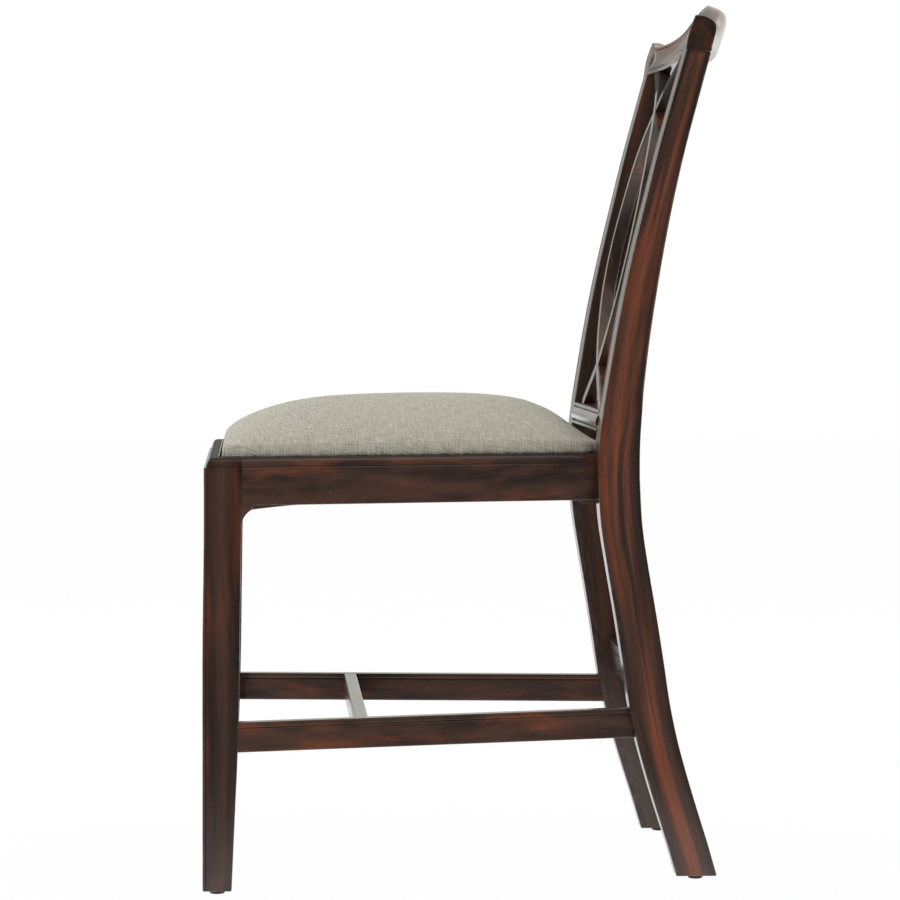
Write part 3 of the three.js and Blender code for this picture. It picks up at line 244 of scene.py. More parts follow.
CREST_MIDDLE_BACK_SHARES = [
    (1.03, 0.044), (1.05, 0.25), (1.068, 0.6), (1.045, 0.86), (1.0, 0.99), (0.95, 1.07),
    (0.835, 1.18), (0.6, 1.32), (0.44, 1.3), (0.34, 1.19), (0.2, 0.98), (0.1, 0.6), (0.03, 0.2),
]
CREST_END_BACK_SHARES = [
    (1.012, 0.05), (1.035, 0.2), (1.05, 0.36), (1.03, 0.55), (1.0, 0.7), (0.95, 0.83),
    (0.9, 0.9), (0.75, 0.96), (0.5, 0.96), (0.32, 0.96), (0.2, 0.96), (0.1, 0.6), (0.03, 0.2),
]
CREST_END_BLEND_SHARES = [(0, 0), (0.5, 0.25), (1, 1)]

# Interlaced ribs
RIB_WIDTH = 13.0
RIB_DEPTH = 13.8
RIB_SETBACK = 4.5
RIB_SWING = 98.0
RIB_STEP = 3.0
RIB_EASE = 0.8
RIB_STAGGER = 0.12
RIB_TAIL = 1.0
RIB_HEAD = 6.0
RIB_TOP_ROOM = 0.3
RIB_LEVELS = 170
RIB_LEVEL_POWER = 1.5
# The crest's painted shadow on the ribs: its darkness, its reach down the ribs, and the height below
# the crest where it covers them whole
RIB_SHADOW_WEAR = -1.2
RIB_SHADOW_RUN = 130.0
RIB_SHADE_HEIGHT = 30.0
RIB_SETBACK_SHARES = [(0, 1), (0.3, 0.87), (0.75, 0.78), (1, 1.3)]
RIB_PATH_SHARES = [
    (-0.07, 2.1), (0, 1.24), (0.035, 0.81), (0.07, 0.45), (0.105, 0.19), (0.14, -0.02), (0.21, -0.37),
    (0.29, -0.64), (0.37, -0.81), (0.46, -0.94), (0.56, -0.985), (0.66, -0.87), (0.77, -0.54),
    (0.83, -0.27), (0.885, 0.04), (0.94, 0.5), (1, 1), (1.05, 1.4),
]

# Drop-in seat
CUSHION_BASE = 459.3
COVER_TURN = 1.0
CUSHION_EDGE = 10.5
CUSHION_DOME = 49.5
CUSHION_GROWTH = 1.5
CUSHION_CORNER = 10.0
CUSHION_TONGUE = 145.0
CUSHION_ROUND = 7.0
CUSHION_SLACK = 3.0
CUSHION_VOXEL = 5.0
CUSHION_CAP = 7.0
CUSHION_KEEP_SHARE = 0.12
CUSHION_LEAST_SHARE = -0.14
CUSHION_START_GROWTH = 0.5
CUSHION_SLACK_RISE = 30.0
CUSHION_FACING_SHARE = 0.25
CUSHION_FOOT = 1.0
CUSHION_HELD = 2.0
CUSHION_PRESSURE = 4.0
CUSHION_FRAMES = 20
CUSHION_END_ROOM = 4.0
CUSHION_TONGUE_EASE = 2.0
CUSHION_TONGUE_STEP = 3.0
CUSHION_TONGUE_CUT = 5.0
CUSHION_FRONT_STEPS = 30
CUSHION_CORNER_STEPS = 8
CUSHION_SIDE_STEPS = 60
CUSHION_BACK_STEPS = 24
CLOTH_STEP = 4.0
CLOTH_LAST_CELL = 1.001
CLOTH_MARGIN = 8.0
HIP_SHARE = 0.22
HIP_SOFTNESS_SHARE = 0.1
HIP_RUN_SHARES = [(0.02, 0.08), (0.6, 0.3)]
CUSHION_RING_SHARES = [
    (1, 0.5), (0.995, 0.9), (0.985, 1), (0.96, 1), (0.93, 1), (0.89, 1), (0.84, 1), (0.78, 1),
    (0.7, 1), (0.6, 1), (0.5, 1), (0.4, 1), (0.3, 1), (0.2, 1), (0.1, 1), (0.04, 1),
]
CUSHION_ACROSS_SHARES = [(0, 1), (0.25, 0.955), (0.5, 0.81), (0.75, 0.53), (0.9, 0.27), (1, 0)]
CUSHION_ALONG_SHARES = [
    (0, 0), (0.01, 0.16), (0.02, 0.25), (0.041, 0.375), (0.075, 0.515), (0.102, 0.605), (0.128, 0.68),
    (0.182, 0.8), (0.264, 0.91), (0.37, 0.97), (0.5, 1), (0.66, 0.99), (0.75, 0.93), (0.806, 0.85),
    (0.851, 0.71), (0.878, 0.605), (0.905, 0.45), (0.927, 0.31), (0.946, 0.185), (0.965, 0.065),
    (0.985, -0.06), (1, -0.14),
]
DUST_CLOTH_UNDERSIDE = 445.9
DUST_CLOTH_THICKNESS = 0.8
DUST_CLOTH_MARGIN = 1.0
DUST_CLOTH_SAG = 1.6
DUST_CLOTH_PULL = 0.35
DUST_CLOTH_PULLS = 60
DUST_CLOTH_PULL_POWER = 6
DUST_CLOTH_ROWS = 80
DUST_CLOTH_COLUMNS = 60
DUST_CLOTH_MEASURES = 200
BLOCK_LEG = 76.0
BLOCK_ROOM = 2.0
STAPLE_PITCH = 26.0
STAPLE_CROWN = 10.0
STAPLE_WIRE = 0.45
STAPLE_INSET = 7.0
STAPLE_SIDES = 8
STAPLE_LIFT_SHARE = 0.6
STAPLE_RUN_SHARES = (0.03, 0.97)
STAPLE_PATH_STEPS = 40

# Screws, glides and blocks
SCREW_SHANK_RADIUS = 2.0
SCREW_HEAD_RADIUS = 4.0
SCREW_HEAD_HEIGHT = 2.6
SCREW_POINT = 5.0
SCREW_CROSS = 2.5
SCREW_CROSS_WIDTH = 0.75
SCREW_CROSS_DEPTH = 1.3
SCREW_DOME = 0.25
SCREW_HEAD_RING_SHARES = (0.2, 0.375, 0.625, 0.75, 0.9, 1)
SCREW_THREAD_DEPTH = 0.35
SCREW_THREAD_RISE = 1.0
SCREW_THREAD_ROOM = 1.2
SCREW_PLAIN_TURNS = 3
SCREW_NECK_SHARE = 0.8
SCREW_TIP_RADIUS = 0.25
SCREW_TIP = 0.2
SCREW_SIDES = 32
BLOCK_EASE = 1.0
BLOCK_CUT_DEPTH = 400.0
BLOCK_CUT_SLOPE = (0, -0.6, -0.8)
GLIDE_EASE = 0.5
WELD = 0.01
FLAT_ANGLE = math.radians(1)
EASE_ANGLE = math.radians(35)
EASE_SEGMENTS = 3
EASED_SMOOTH_ANGLE = math.radians(50)

# The studio, in metres. In reflections the floor and the world darken towards the camera.
CAMERA_PLACE = (3.87816, 0.05482, 0.62215)
CAMERA_YAW = math.radians(3.2026)
CAMERA_PITCH = math.radians(2.4442)
CAMERA_LENS = 138.72
CAMERA_SENSOR = 36
CAMERA_CLIP = 100
FLOOR_REACH = 12.0
FLOOR_PAINT = 0.9
FLOOR_WHITE_SHARE = 0.97
FLOOR_FADE_START = 0.3
FLOOR_FADE_END = 1.0
FLOOR_DIM = 0.1
WORLD_LIGHT = 0.75
WORLD_MIRRORED = (0.97, 1, 0.93, 1)
WORLD_FADE_START = 0.75
WORLD_FADE_END = 0.1
WORLD_DIM = 0.1
WORLD_BACK_SLOPE = 1.2
WORLD_BACK_LEVEL = 0.7
WORLD_BACK_LEAST = 0.4
WORLD_BACK_MOST = 1.6
LAMP_TARGET = (0, 0, 0.5)
LAMPS = {
    "front_lamp": {"place": (-1.2, -3.0, 2.2), "size": (2.5, 2.5), "power": 60},
    "back_lamp": {"place": (-1.0, 3.0, 2.2), "size": (2.0, 2.5), "power": 40},
}

# Wear and painted shade along the wood: 1 is rubbed, -1 a dark groove; the painted shadows under the
# crest and the cushion are below 0 too
GROOVE = -1
ARRIS_WEAR = 0.4
STEP_WEAR = 0.8
ROUNDED_WEAR = 0.9
BEAD_ROOT_WEAR = 0.3
STILE_BEAD_ROOT_WEAR = 0.25
INNER_CORNER_WEAR = 0.5
QUIRK_EDGE_WEAR = -0.5
BRACKET_CREASE_WEAR = -0.6

# How finely the wood is drawn
ROUND_STEPS = 3
GUARD = 1.1
END_FLAT = 1.2
JOINT_LAP = 0.05
SMOOTH_ANGLE = math.radians(38)
TRIM_SHARE = 0.42
GUARD_SHARE = 0.48
CORNER_WEAR_SHARE = 0.55
END_EASE_SHARES = [(0.0, 0.4), (0.6, 0.9), (1.0, 0.4)]
BOARD_STEPS = (0.37, 0.53, 0.71)
BOARD_START = 0.11
LEAST = 0.0001


# Reads a table of shares smoothly: each row is a place, then the share there
def read_shares(rows, place):
    last = len(rows) - 1
    index = 0
    while index < last - 1 and rows[index + 1][0] < place:
        index += 1

    def slope(at):
        low, high = rows[max(at - 1, 0)], rows[min(at + 1, last)]
        return (high[1] - low[1]) / (high[0] - low[0])

    start, end = rows[index], rows[index + 1]
    run = end[0] - start[0]
    t = min(max((place - start[0]) / run, 0.0), 1.0)
    t2, t3 = t * t, t * t * t
    return (
        (2 * t3 - 3 * t2 + 1) * start[1]
        + (t3 - 2 * t2 + t) * run * slope(index)
        + (3 * t2 - 2 * t3) * end[1]
        + (t3 - t2) * run * slope(index + 1)
    )


def side_name(side):
    return "left" if side > 0 else "right"


def mix(low, high, share):
    return low + (high - low) * share


def clamp(share):
    return min(max(share, 0.0), 1.0)


# How far a place has gone from a start to an end, from 0 to 1
def ramp(place, start, end):
    return clamp((place - start) / (end - start))


def spread(low, high, steps):
    return [mix(low, high, index / steps) for index in range(steps + 1)]


# Rounds the corners of a closed outline. A corner is (u, v, radius). A plain point is
# (u, v, None, wear). The result holds (u, v, wear): 1 on an edge, -1 in a groove, else 0.
def soften(corners, steps=ROUND_STEPS):
    count = len(corners)
    area = sum(
        corners[i][0] * corners[(i + 1) % count][1] - corners[(i + 1) % count][0] * corners[i][1]
        for i in range(count)
    )
    out = []
    for i, corner in enumerate(corners):
        here = np.array(corner[:2], float)
        if corner[2] is None:
            out.append((here[0], here[1], corner[3]))
            continue
        before = np.array(corners[i - 1][:2], float) - here
        after = np.array(corners[(i + 1) % count][:2], float) - here
        reach_before, reach_after = np.linalg.norm(before), np.linalg.norm(after)
        before, after = before / reach_before, after / reach_after
        turn = before[0] * after[1] - before[1] * after[0]
        wear = 1.0 if turn * area < 0 else -1.0
        trim = min(corner[2], reach_before * TRIM_SHARE, reach_after * TRIM_SHARE)
        ease_before = min(trim + GUARD, reach_before * GUARD_SHARE)
        ease_after = min(trim + GUARD, reach_after * GUARD_SHARE)
        first, last = here + before * ease_before, here + after * ease_after
        start, end = here + before * trim, here + after * trim
        out.append((first[0], first[1], 0.0))
        for step in range(steps + 1):
            t = step / steps
            point = start * (1 - t) ** 2 + here * 2 * t * (1 - t) + end * t * t
            worn = wear * mix(CORNER_WEAR_SHARE, 1, math.sin(math.pi * t))
            out.append((point[0], point[1], worn))
        out.append((last[0], last[1], 0.0))
    return out


GRAIN_TURNS = {
    "x": Matrix(((0, 1, 0), (0, 0, 1), (1, 0, 0))),
    "y": Matrix(((1, 0, 0), (0, 0, 1), (0, 1, 0))),
    "z": Matrix(((1, 0, 0), (0, 1, 0), (0, 0, 1))),
}
boards_made = []

# How each kind of piece lies in its plank: the grain's tilt, and the place of the cut
PLANKS = {
    "front_leg": (0.0, (0.05, 0.008, 0.4)),
    "rear_leg": (0.0, (0.31, 0.13, 0.7)),
    "side_rail": (0.07, (0.2, 0.1, 0.5)),
    "side_stretcher": (-0.03, (0.15, 0.3, 0.8)),
    "back_rib": (-0.1, (0.7, 0.2, 0.3)),
    "front_rail": (0.03, None),
    "back_rail": (-0.04, None),
    "cross_stretcher": (0.0, None),
    "rear_stretcher": (0.05, None),
    "lower_back_rail": (-0.02, None),
    "crest_rail": (0.06, None),
}


# Gives each vertex its place in the plank it was cut from: across, through, along. The next
# plank is used where the table names no cut.
def lay_grain(mesh, kind, axis, side, bend):
    number = len(boards_made)
    boards_made.append(mesh.name)
    tilt, cut = PLANKS[kind]
    across, through, along = BOARD_STEPS
    start = (across * number, through * number + BOARD_START, along * number)
    if cut:
        start = (cut[0], cut[1], side * cut[2])
    turn = Matrix.Rotation(tilt, 3, "X") @ GRAIN_TURNS[axis]
    layer = mesh.attributes.new("grain", "FLOAT_VECTOR", "POINT")
    values = []
    for vertex in mesh.vertices:
        place = vertex.co.copy()
        if bend:
            place.y -= bend(place.z / MM) * MM
        values += [*(turn @ place + Vector(start))]
    layer.data.foreach_set("vector", values)


# Painted shade towards a piece's edges, from a rule of (x, y, z) in millimetres; where the rule gives
# less than 0, a warmer colour
def shade_edges(piece, rule):
    values = []
    for vertex in piece.data.vertices:
        x, y, z = vertex.co
        values.append(max(-1.0, min(rule(x / MM, (y - FRONT_FACE) / MM, z / MM), 1.0)))
    layer = piece.data.attributes.new("stain", "FLOAT", "POINT")
    layer.data.foreach_set("value", values)
    return piece


def set_wear_and_shade(mesh, values):
    layer = mesh.attributes.new("wear", "FLOAT", "POINT")
    layer.data.foreach_set("value", values)


def finish_mesh(mesh, angle=SMOOTH_ANGLE):
    mesh.polygons.foreach_set("use_smooth", [True] * len(mesh.polygons))
    mesh.set_sharp_from_angle(angle=angle)
    mesh.update()


def signed_volume(points, faces):
    total = 0.0
    for face in faces:
        a = points[face[0]]
        for second, third in zip(face[1:-1], face[2:]):
            total += a.dot(points[second].cross(points[third]))
    return total


# A closed solid through rings of (x, y, z), in the drawing's millimetres
def solid_through(name, rings):
    count = len(rings[0])
    points = [Vector((x * MM, y * MM + FRONT_FACE, z * MM)) for ring in rings for x, y, z in ring]
    faces = []
    for ring in range(len(rings) - 1):
        for index in range(count):
            a = ring * count + index
            b = ring * count + (index + 1) % count
            faces.append((a, b, b + count, a + count))
    last = (len(rings) - 1) * count
    faces.append(tuple(range(count - 1, -1, -1)))
    faces.append(tuple(range(last, last + count)))
    if signed_volume(points, faces) < 0:
        faces = [face[::-1] for face in faces]
    mesh = bpy.data.meshes.new(name)
    mesh.from_pydata(points, [], faces)
    piece = bpy.data.objects.new(name, mesh)
    bpy.context.scene.collection.objects.link(piece)
    return piece


# A wooden piece through rings of (x, y, z, wear). A bend is how far its plank was bent.
def loft(kind, rings, axis, side=0, bend=None):
    name = kind + "_" + side_name(side) if side else kind
    piece = solid_through(name + "_wood", [[point[:3] for point in ring] for ring in rings])
    set_wear_and_shade(piece.data, [point[3] for ring in rings for point in ring])
    lay_grain(piece.data, kind, axis, side, bend)
    finish_mesh(piece.data)
    return piece


# Eases the edge of a ring's flat end: the ring is drawn in by the ease and set on by it
def eased_end(ring, step, ease):
    middle = np.mean([point[:3] for point in ring], axis=0)
    out = []
    steps = [(share, wear, 0) for share, wear in END_EASE_SHARES] + [(1, 0, END_FLAT)]
    for share, wear, flat in steps:
        draw = ease * (1 - math.sqrt(1 - share * share)) + flat
        moved = []
        for point in ring:
            here = np.array(point[:3])
            inward = middle - here
            inward = inward / max(np.linalg.norm(inward), MM)
            place = here + inward * draw + np.array(step) * ease * share
            moved.append((*place, wear if flat else max(point[3], wear)))
        out.append(moved)
    return out


# A rear leg at a height: its front, back, outer and inner face
def post_at(height):
    below = (height - GLIDE_HEIGHT) / (SEAT_LEVEL - GLIDE_HEIGHT)
    above = (height - SEAT_LEVEL) / (BACK_HEIGHT - SEAT_LEVEL)
    if height < SEAT_LEVEL:
        front = SEAT_DEPTH + FOOT_SWEEP * read_shares(LOWER_SWEEP_SHARES, below)
        back = front + REAR_LEG_DEPTH * read_shares(LEG_DEPTH_SHARES, below)
        outer = mix(REAR_FOOT_HALF, REAR_SEAT_HALF, below)
        inner = outer - REAR_LEG_THICKNESS * read_shares(LEG_THICKNESS_SHARES, below)
        return front, back, outer, inner
    front = SEAT_DEPTH + BACK_SWEEP * read_shares(UPPER_SWEEP_SHARES, above)
    back = front + REAR_LEG_DEPTH * read_shares(STILE_DEPTH_SHARES, above)
    outer = mix(REAR_SEAT_HALF, BACK_TOP_HALF, read_shares(STILE_FLARE_SHARES, above))
    inner = outer - REAR_LEG_THICKNESS * read_shares(STILE_THICKNESS_SHARES, above)
    return front, back, outer, inner


def rail_outer_at(depth):
    rear_half = REAR_SEAT_HALF - RAIL_INSET_AT_REAR
    return mix(FRONT_HALF, rear_half, (depth - FRONT_LEG_WIDTH) / (SEAT_DEPTH - FRONT_LEG_WIDTH))


def leg_width_at(height):
    share = (height - GLIDE_HEIGHT) / (RAIL_TOP - GLIDE_HEIGHT)
    return mix(FRONT_FOOT_WIDTH, FRONT_LEG_WIDTH, read_shares(LEG_TAPER_SHARES, share))


def leg_forward_at(height):
    share = (height - GLIDE_HEIGHT) / (RAIL_TOP - GLIDE_HEIGHT)
    return FRONT_FOOT_FORWARD * read_shares(LEG_FORWARD_SHARES, share)


# The seat frame's moulded edge: distance in from the face, and height
def moulded_edge():
    low = RAIL_TOP - MOULDING_HEIGHT
    points = []
    for angle in spread(0, math.pi / 2, MOULDING_STEPS):
        points.append((
            mix(MOULDING_STEP, MOULDING_REACH, 1 - math.cos(angle)),
            low + MOULDING_HEIGHT * math.sin(angle),
        ))
    return points


# The moulded edge's upper stretch lies in the cushion's shadow, painted in as a dark colour
def edge_wear_and_shade(height, wear):
    return LIP_PAINTED_SHADOW if height > RAIL_TOP - LIP_SHADOW else wear


# Front legs
def leg_section(width, inset, beaded, rabbeted):
    bead = LEG_BEAD if beaded else LEG_EASE
    quirk = LEG_QUIRK_DEPTH if beaded else 0.0
    arris, darkening = (ARRIS_WEAR, GROOVE) if beaded else (0, 0)
    edge = inset + bead * 2 + LEG_QUIRK
    slope = edge - LEG_QUIRK * QUIRK_SLOPE_SHARE
    centre = inset + bead
    points = [
        (width, inset, LEG_EASE),
        (edge + GUARD, inset, None, 0),
        (edge, inset, None, arris),
        (slope, inset + quirk, None, darkening),
    ]
    first, last = BEAD_SWEEP if beaded else CORNER_SWEEP
    for share in spread(0, 1, BEAD_STEPS):
        angle = math.radians(mix(first, last, share))
        wear = mix(BEAD_ROOT_WEAR, 1, math.sin(math.pi * share))
        points.append((centre + bead * math.cos(angle), centre + bead * math.sin(angle), None, wear))
    points += [
        (inset + quirk, slope, None, darkening),
        (inset, edge, None, arris),
        (inset, edge + GUARD, None, 0),
    ]
    points += [(inset, width * share, None, 0) for share in LEG_EDGE_SHADE_PLACE_SHARES]
    inner = LIP_WIDTH if rabbeted else width
    points += [
        (inset, width, LEG_EASE),
        (LIP_WIDTH, width, None, 0),
        (inner, inner, None, INNER_CORNER_WEAR),
        (width, LIP_WIDTH, None, 0),
    ]
    return soften(points)


def front_leg(side):
    low = RAIL_TOP - MOULDING_HEIGHT
    floor = RAIL_TOP - RABBET_DEPTH
    plain = spread(GLIDE_HEIGHT, floor, FRONT_LEG_LEVELS)
    levels = [(height, 0.0, True, False) for height in plain]
    levels += [(floor, 0.0, True, True), (low, 0.0, True, True)]
    levels += [(height, inset, False, True) for inset, height in moulded_edge()]
    rings = []
    for height, inset, beaded, rabbeted in levels:
        section = leg_section(leg_width_at(height), inset, beaded, rabbeted)
        forward = leg_forward_at(height)
        rings.append([
            (side * (FRONT_HALF - a), b - forward, height, edge_wear_and_shade(height, wear))
            for a, b, wear in section
        ])
    foot = eased_end(rings[0], (0, 0, -1), LEG_EASE)
    lifted = [[(x, y, z + LEG_EASE, wear) for x, y, z, wear in ring] for ring in foot]
    leg = loft("front_leg", lifted[::-1] + rings[1:], "z", side)

    # Painted shade towards the front and back of the leg, stronger at the back
    def stain(x, y, z):
        share = (y + leg_forward_at(z)) / leg_width_at(z)
        return sum(dark * ramp(share, start, end) for start, end, dark in FRONT_LEG_EDGE_SHADE_SHARES)

    return shade_edges(leg, stain)


# Rear legs
def stile_face(width, reeded):
    quirk, place, rise = STILE_QUIRK, *STILE_CROWN_SHARES
    half = []
    for angle in spread(math.pi, 0, STILE_BEAD_STEPS):
        u = STILE_BEAD * (1 + math.cos(angle))
        v = STILE_BEAD_RISE * (1 - math.sin(angle))
        half.append((u, v, mix(STILE_BEAD_ROOT_WEAR, 1, math.sin(angle))))
    edge = STILE_BEAD * 2
    half += [(edge + quirk * share, STILE_QUIRK_DEPTH, GROOVE) for share in STILE_QUIRK_SHARES]
    half += [
        (edge + quirk, STILE_FIELD_DEPTH, QUIRK_EDGE_WEAR),
        (edge + quirk * 2, STILE_FIELD_DEPTH - STILE_FIELD_FALL, 0),
        (width * place, STILE_FIELD_DEPTH - STILE_CROWN * rise, 0),
    ]
    middle = [(width / 2, STILE_FIELD_DEPTH - STILE_CROWN, 0)]
    other = [(width - u, v, wear) for u, v, wear in reversed(half)]
    carved = half + middle + other
    plain = []
    for u, v, wear in carved:
        near = min(u, width - u)
        short = LEG_EASE - min(near, LEG_EASE)
        rounded = LEG_EASE - math.sqrt(max(LEG_EASE**2 - short**2, 0))
        plain.append((u, rounded, ROUNDED_WEAR if near < LEG_EASE else 0))
    return [
        (mix(p[0], c[0], reeded), mix(p[1], c[1], reeded), mix(p[2], c[2], reeded))
        for p, c in zip(plain, carved)
    ]


def rear_leg_ring(height, side):
    front, back, outer, inner = post_at(height)
    width, depth = outer - inner, back - front
    rounded = clamp((height - LOWER_RAIL_TOP) / LOWER_RAIL_HEIGHT)
    reeded = clamp((height - LOWER_RAIL_TOP) / REED_RUN_OUT)
    ease_back = mix(LEG_EASE, BACK_EASE, rounded)
    face = [(u, v, None, wear) for u, v, wear in stile_face(width, reeded)]
    section = face + [(width, depth, INNER_EASE), (0.0, depth, ease_back)]
    section += [(0.0, depth * share, None, 0) for share in REAR_EDGE_SHADE_PLACE_SHARES]
    ring = soften(section, steps=REAR_CORNER_STEPS)
    return [(side * (outer - a), front + b, height, wear) for a, b, wear in ring]


def rear_leg(side):
    heights = spread(GLIDE_HEIGHT + LEG_EASE, LOWER_RAIL_TOP, LEG_LEVELS)
    heights += spread(LOWER_RAIL_TOP, LOWER_RAIL_TOP + REED_RUN_OUT, REED_LEVELS)[1:]
    heights += spread(LOWER_RAIL_TOP + REED_RUN_OUT, SHOULDER_LEVEL, STILE_LEVELS)[1:]
    rings = [rear_leg_ring(height, side) for height in heights]
    foot = eased_end(rings[0], (0, 0, -1), LEG_EASE)
    leg = loft("rear_leg", foot[::-1] + rings[1:], "z", side, lambda height: post_at(height)[0])

    # Painted shade towards the front and back edges of the leg's side, and a warmer colour across its
    # middle
    def stain(x, y, z):
        front, back = post_at(z)[:2]
        share = (y - front) / (back - front)
        edges = sum(dark * ramp(share, start, end) for start, end, dark in REAR_EDGE_SHADE_SHARES)
        return edges - math.prod(ramp(share, start, end) for start, end in REAR_GLOW_SHARES)

    return shade_edges(leg, stain)


# How far the small bracket at a leg reaches below its seat rail
def bracket_at(run):
    if run >= BRACKET_RUN:
        return 0.0
    if run >= BRACKET_CURVE:
        left = 1 - (run - BRACKET_CURVE) / (BRACKET_RUN - BRACKET_CURVE)
        return BRACKET_SHOULDER * left**BRACKET_TAIL_POWER
    left = 1 - run / BRACKET_CURVE
    swept = 1 - math.sqrt(1 - left**2)
    return mix(BRACKET_SHOULDER, BRACKET_DROP, mix(left, swept, BRACKET_SWEEP_SHARE))


# A rail's section at a distance from the leg. The bracket there is flush with the rail in its
# curve, and set back from the face along its tail.
def rail_section(run):
    drop = max(bracket_at(run), BRACKET_LEAST)
    setback = BRACKET_SETBACK * clamp((run - BRACKET_CURVE) / BRACKET_BLEND)
    flush = run < BRACKET_CURVE
    low, step = RAIL_BOTTOM, RAIL_TOP - MOULDING_HEIGHT
    section = [
        (0.0, low - (drop if flush else 0.0), LEG_EASE),
        (0.0, low + LEG_EASE * 3, None, 0),
        (0.0, step - MOULDING_MARGIN, None, 0),
        (0.0, step - MOULDING_ARRIS, None, STEP_WEAR),
        (MOULDING_ARRIS, step, None, STEP_WEAR),
        (MOULDING_STEP - MOULDING_CREASE, step, None, GROOVE),
    ]
    section += [
        (inset, height, None, edge_wear_and_shade(height, MOULDING_WEAR_SHARE))
        for inset, height in moulded_edge()[1:]
    ]
    section += [
        (LIP_WIDTH - GUARD, RAIL_TOP, None, LIP_PAINTED_SHADOW),
        (LIP_WIDTH, RAIL_TOP, RAIL_ARRIS),
        (LIP_WIDTH, RAIL_TOP - RABBET_DEPTH, None, GROOVE),
        (RAIL_THICKNESS, RAIL_TOP - RABBET_DEPTH, RAIL_ARRIS),
        (RAIL_THICKNESS, low - drop, RAIL_ARRIS),
    ]
    if flush:
        section += [
            (LEG_EASE * 4, low - drop, BRACKET_ARRIS),
            (LEG_EASE * 2, low - drop, None, 0),
        ]
    else:
        section += [
            (setback, low - drop, BRACKET_ARRIS),
            (setback, low - min(drop, BRACKET_CREASE), None, BRACKET_CREASE_WEAR),
        ]
    return soften(section)


def bracket_runs(length):
    blended = BRACKET_CURVE + BRACKET_BLEND
    runs = spread(0.0, BRACKET_CURVE - BRACKET_STEP, BRACKET_CURVE_STEPS)
    runs += spread(BRACKET_CURVE, blended, 2)
    runs += spread(blended, BRACKET_RUN, BRACKET_TAIL_STEPS)[1:]
    return runs + spread(BRACKET_RUN, length, RAIL_STEPS)[1:]


def side_rail(side):
    start, end = FRONT_LEG_WIDTH, SEAT_DEPTH
    rings = []
    for run in bracket_runs(end - start):
        depth = start + run
        ring = []
        for inward, height, wear in rail_section(run):
            place = depth if run < end - start else post_at(height)[0] + JOINT_LAP
            ring.append((side * (rail_outer_at(place) - inward), place, height, wear))
        rings.append(ring)
    return loft("side_rail", rings, "y", side)


def front_rail():
    half = FRONT_HALF - FRONT_LEG_WIDTH
    runs = bracket_runs(half)
    places = [(run - half, run) for run in runs]
    places += [(half - run, run) for run in reversed(runs[:-1])]
    rings = [
        [(x, inward, height, wear) for inward, height, wear in rail_section(run)]
        for x, run in places
    ]
    return loft("front_rail", rings, "x")


def back_rail_lip():
    return SEAT_DEPTH + BACK_RAIL_INSET + (RAIL_THICKNESS - LIP_WIDTH) - SEAT_ROOM


def back_rail():
    front = SEAT_DEPTH + BACK_RAIL_INSET
    back = front + BACK_RAIL_THICKNESS
    lip = back_rail_lip()
    floor = RAIL_TOP - RABBET_DEPTH
    section = soften([
        (front, RAIL_BOTTOM, LEG_EASE),
        (front, floor, LEG_EASE),
        (lip, floor, None, GROOVE),
        (lip, RAIL_TOP, BACK_RAIL_ROUND),
        (back, RAIL_TOP, BACK_RAIL_ROUND),
        (back, RAIL_BOTTOM, LEG_EASE),
    ])
    rings = []
    for share in spread(-1, 1, RAIL_STEPS):
        rings.append([(share * post_at(z)[3], y, z, wear) for y, z, wear in section])
    return loft("back_rail", rings, "x")


# Stretchers
def stretcher_outer_at(depth):
    rear = REAR_FOOT_HALF - STRETCHER_REAR_REVEAL
    share = (depth - FRONT_FOOT_WIDTH) / (SEAT_DEPTH + REAR_LEG_DEPTH - FRONT_FOOT_WIDTH)
    return mix(FRONT_HALF - STRETCHER_REVEAL, rear, share)


def bar_section(thickness, low, top, quirk_drop):
    quirk, line = QUIRK_WIDTH, top - quirk_drop
    outer = [
        (0.0, low, STRETCHER_LOW_EASE),
        (0.0, line - quirk, QUIRK_EASE),
        (quirk, line, None, GROOVE),
        (0.0, line + quirk, QUIRK_EASE),
        (0.0, top, STRETCHER_EASE),
    ]
    return soften(outer + [(thickness - place, *rest) for place, *rest in reversed(outer)])


def side_stretcher(side):
    low = STRETCHER_TOP - STRETCHER_HEIGHT
    section = bar_section(STRETCHER_THICKNESS, low, STRETCHER_TOP, QUIRK_DROP)
    rings = []
    for share in spread(0, 1, STRETCHER_STEPS):
        ring = []
        for inward, height, wear in section:
            depth = mix(leg_width_at(height) - leg_forward_at(height), post_at(height)[0], share)
            level = height + mix(-STRETCHER_FALL, STRETCHER_RISE, share)
            ring.append((side * (stretcher_outer_at(depth) - inward), depth, level, wear))
        rings.append(ring)
    return loft("side_stretcher", rings, "y", side)


def cross_stretcher():
    front = CROSS_PLACE - CROSS_THICKNESS / 2
    low = STRETCHER_TOP - CROSS_HEIGHT
    section = bar_section(CROSS_THICKNESS, low, STRETCHER_TOP, QUIRK_DROP)
    rings = []
    for share in spread(-1, 1, RAIL_STEPS):
        ring = []
        for back, height, wear in section:
            half = stretcher_outer_at(front + back) - STRETCHER_THICKNESS
            ring.append((share * half, front + back, height, wear))
        rings.append(ring)
    return loft("cross_stretcher", rings, "x")


def rear_stretcher():
    low = REAR_STRETCHER_TOP - REAR_STRETCHER_HEIGHT
    section = bar_section(REAR_STRETCHER_THICKNESS, low, REAR_STRETCHER_TOP, REAR_QUIRK_DROP)
    rings = []
    for share in spread(-1, 1, RAIL_STEPS):
        ring = []
        for back, height, wear in section:
            post = post_at(height)
            ring.append((share * post[3], post[0] + REAR_STRETCHER_SETBACK + back, height, wear))
        rings.append(ring)
    return loft("rear_stretcher", rings, "x")


